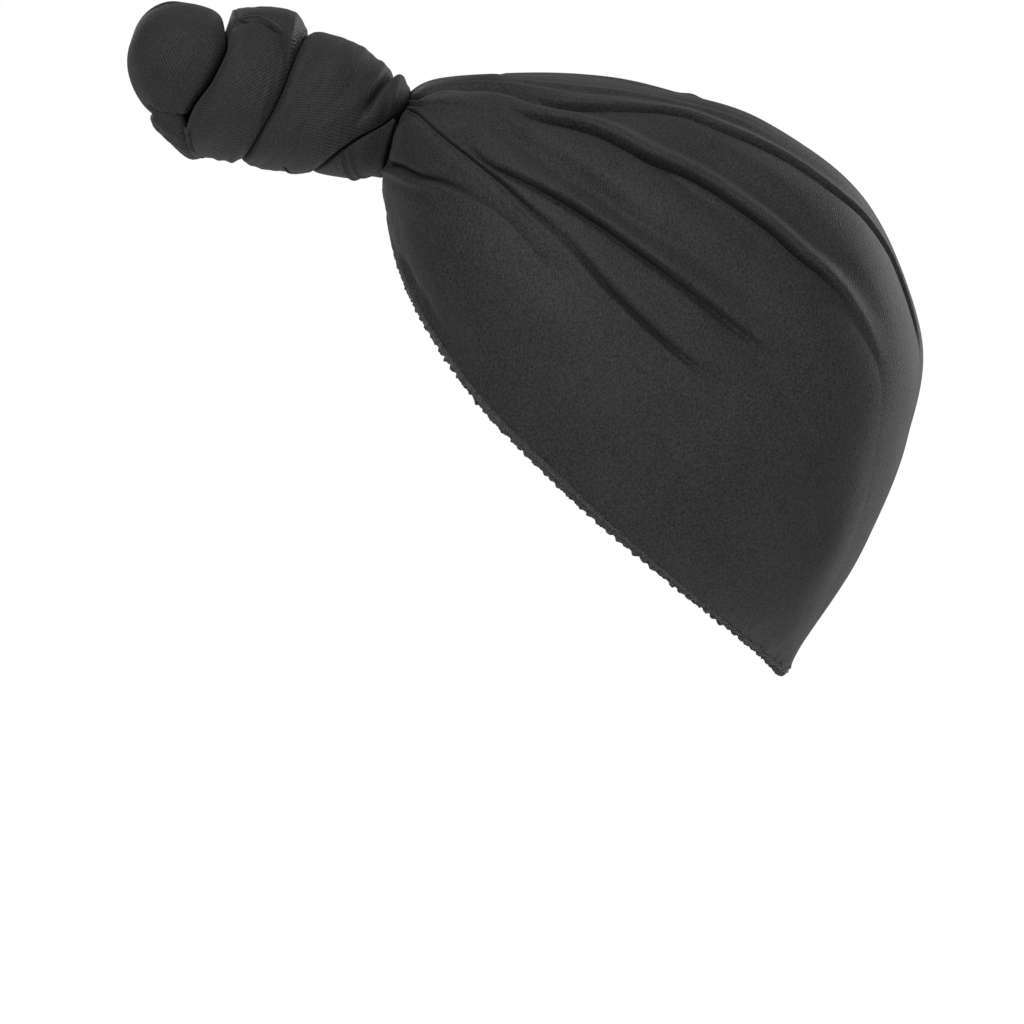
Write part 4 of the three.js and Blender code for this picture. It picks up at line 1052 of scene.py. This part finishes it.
def set_camera():
    y, z = photo_place(PHOTO_SIDE / 2, PHOTO_SIDE / 2)
    data = bpy.data.cameras.new("camera")
    data.sensor_width = SENSOR
    data.lens = SENSOR * CAMERA_AWAY / (PHOTO_SIDE * MM_PER_PX * MM)
    camera = bpy.data.objects.new("camera", data)
    camera.location = (CAMERA_AWAY, y, z)
    camera.rotation_euler = (math.pi / 2, 0, math.pi / 2)
    bpy.context.scene.collection.objects.link(camera)
    bpy.context.scene.camera = camera


def softbox(name, place, aim, size, power):
    data = bpy.data.lights.new(name, "AREA")
    data.shape = "RECTANGLE"
    data.size, data.size_y = size
    data.energy = power
    light = bpy.data.objects.new(name, data)
    light.location = place
    light.rotation_euler = aim_rotation(np.array(aim) - np.array(place))
    light.visible_camera = False
    bpy.context.scene.collection.objects.link(light)


def aim_rotation(toward):
    """The Euler angles that turn a light's -Z axis along a direction."""
    x, y, z = toward / np.linalg.norm(toward)
    return (math.acos(-z), 0.0, math.atan2(y, x) - math.pi / 2)


def set_studio():
    world = bpy.data.worlds.new("white_studio")
    bpy.context.scene.world = world
    world.use_nodes = True
    tree = world.node_tree
    tree.nodes.clear()
    # A white room seen straight on is white; the light that it gives is the softer fill.
    seen = add(tree, "ShaderNodeLightPath")
    white = add(tree, "ShaderNodeBackground", {"Color": (1, 1, 1, 1), "Strength": 1.0})
    fill = add(tree, "ShaderNodeBackground", {"Color": (1, 1, 1, 1), "Strength": ROOM_FILL})
    room = add(tree, "ShaderNodeMixShader", {0: seen.outputs["Is Camera Ray"],
                                             1: fill.outputs[0], 2: white.outputs[0]})
    add(tree, "ShaderNodeOutputWorld", {"Surface": room.outputs[0]})
    bpy.ops.mesh.primitive_plane_add(size=FLOOR_SIDE, location=(0, 0, FLOOR_HEIGHT))
    floor = bpy.context.object
    floor.name = "pale_floor"
    material, tree = blank_material("matt_white_paint")
    paint = add(tree, "ShaderNodeBsdfPrincipled",
                {"Base Color": linear("#fbfbfb"), "Roughness": 0.9,
                 "Emission Color": (1, 1, 1, 1), "Emission Strength": FLOOR_GLOW})
    add(tree, "ShaderNodeOutputMaterial", {"Surface": paint.outputs["BSDF"]})
    floor.data.materials.append(material)
    for lamp in SOFTBOXES:
        softbox(*lamp)
    bpy.context.scene.view_settings.view_transform = "Standard"


set_camera()
set_studio()

CAP_JERSEY = knit_material("brushed_cap_jersey", "#070707", "#2f2f2f", rib_pitch=0.85, rib_depth=0.05,
                           rib_share=0.06, grain_share=1.3)
KNOT_JERSEY = knit_material("ribbed_knot_jersey", "#131313", "#2c2c2c", rib_pitch=1.03, rib_depth=0.17,
                            rib_share=0.28, grain_share=1.05)
THREAD = thread_material("overlock_thread", "#121212", "#333333")
# The needle threads are painted lighter than the looper threads: a painted sheen for the shine that the chain
# lines catch along the hem's edge.
CHAIN_THREAD = thread_material("chain_thread_painted_sheen", "#2a2a2a", "#5e5e5e")

cap = gathered_cloth(CAP_JERSEY)
edge = overlocked_edge(THREAD)
loops, chain = looper_threads(THREAD, CHAIN_THREAD)
coils = wound_coils(KNOT_JERSEY)
wrap = inner_wrap(KNOT_JERSEY)
flap = lapped_flap(KNOT_JERSEY)
tip = rounded_tip(KNOT_JERSEY)
roll = tucked_roll(KNOT_JERSEY)
wrapped_edges(THREAD)
neck = bunched_neck(KNOT_JERSEY)
loose_threads(THREAD)
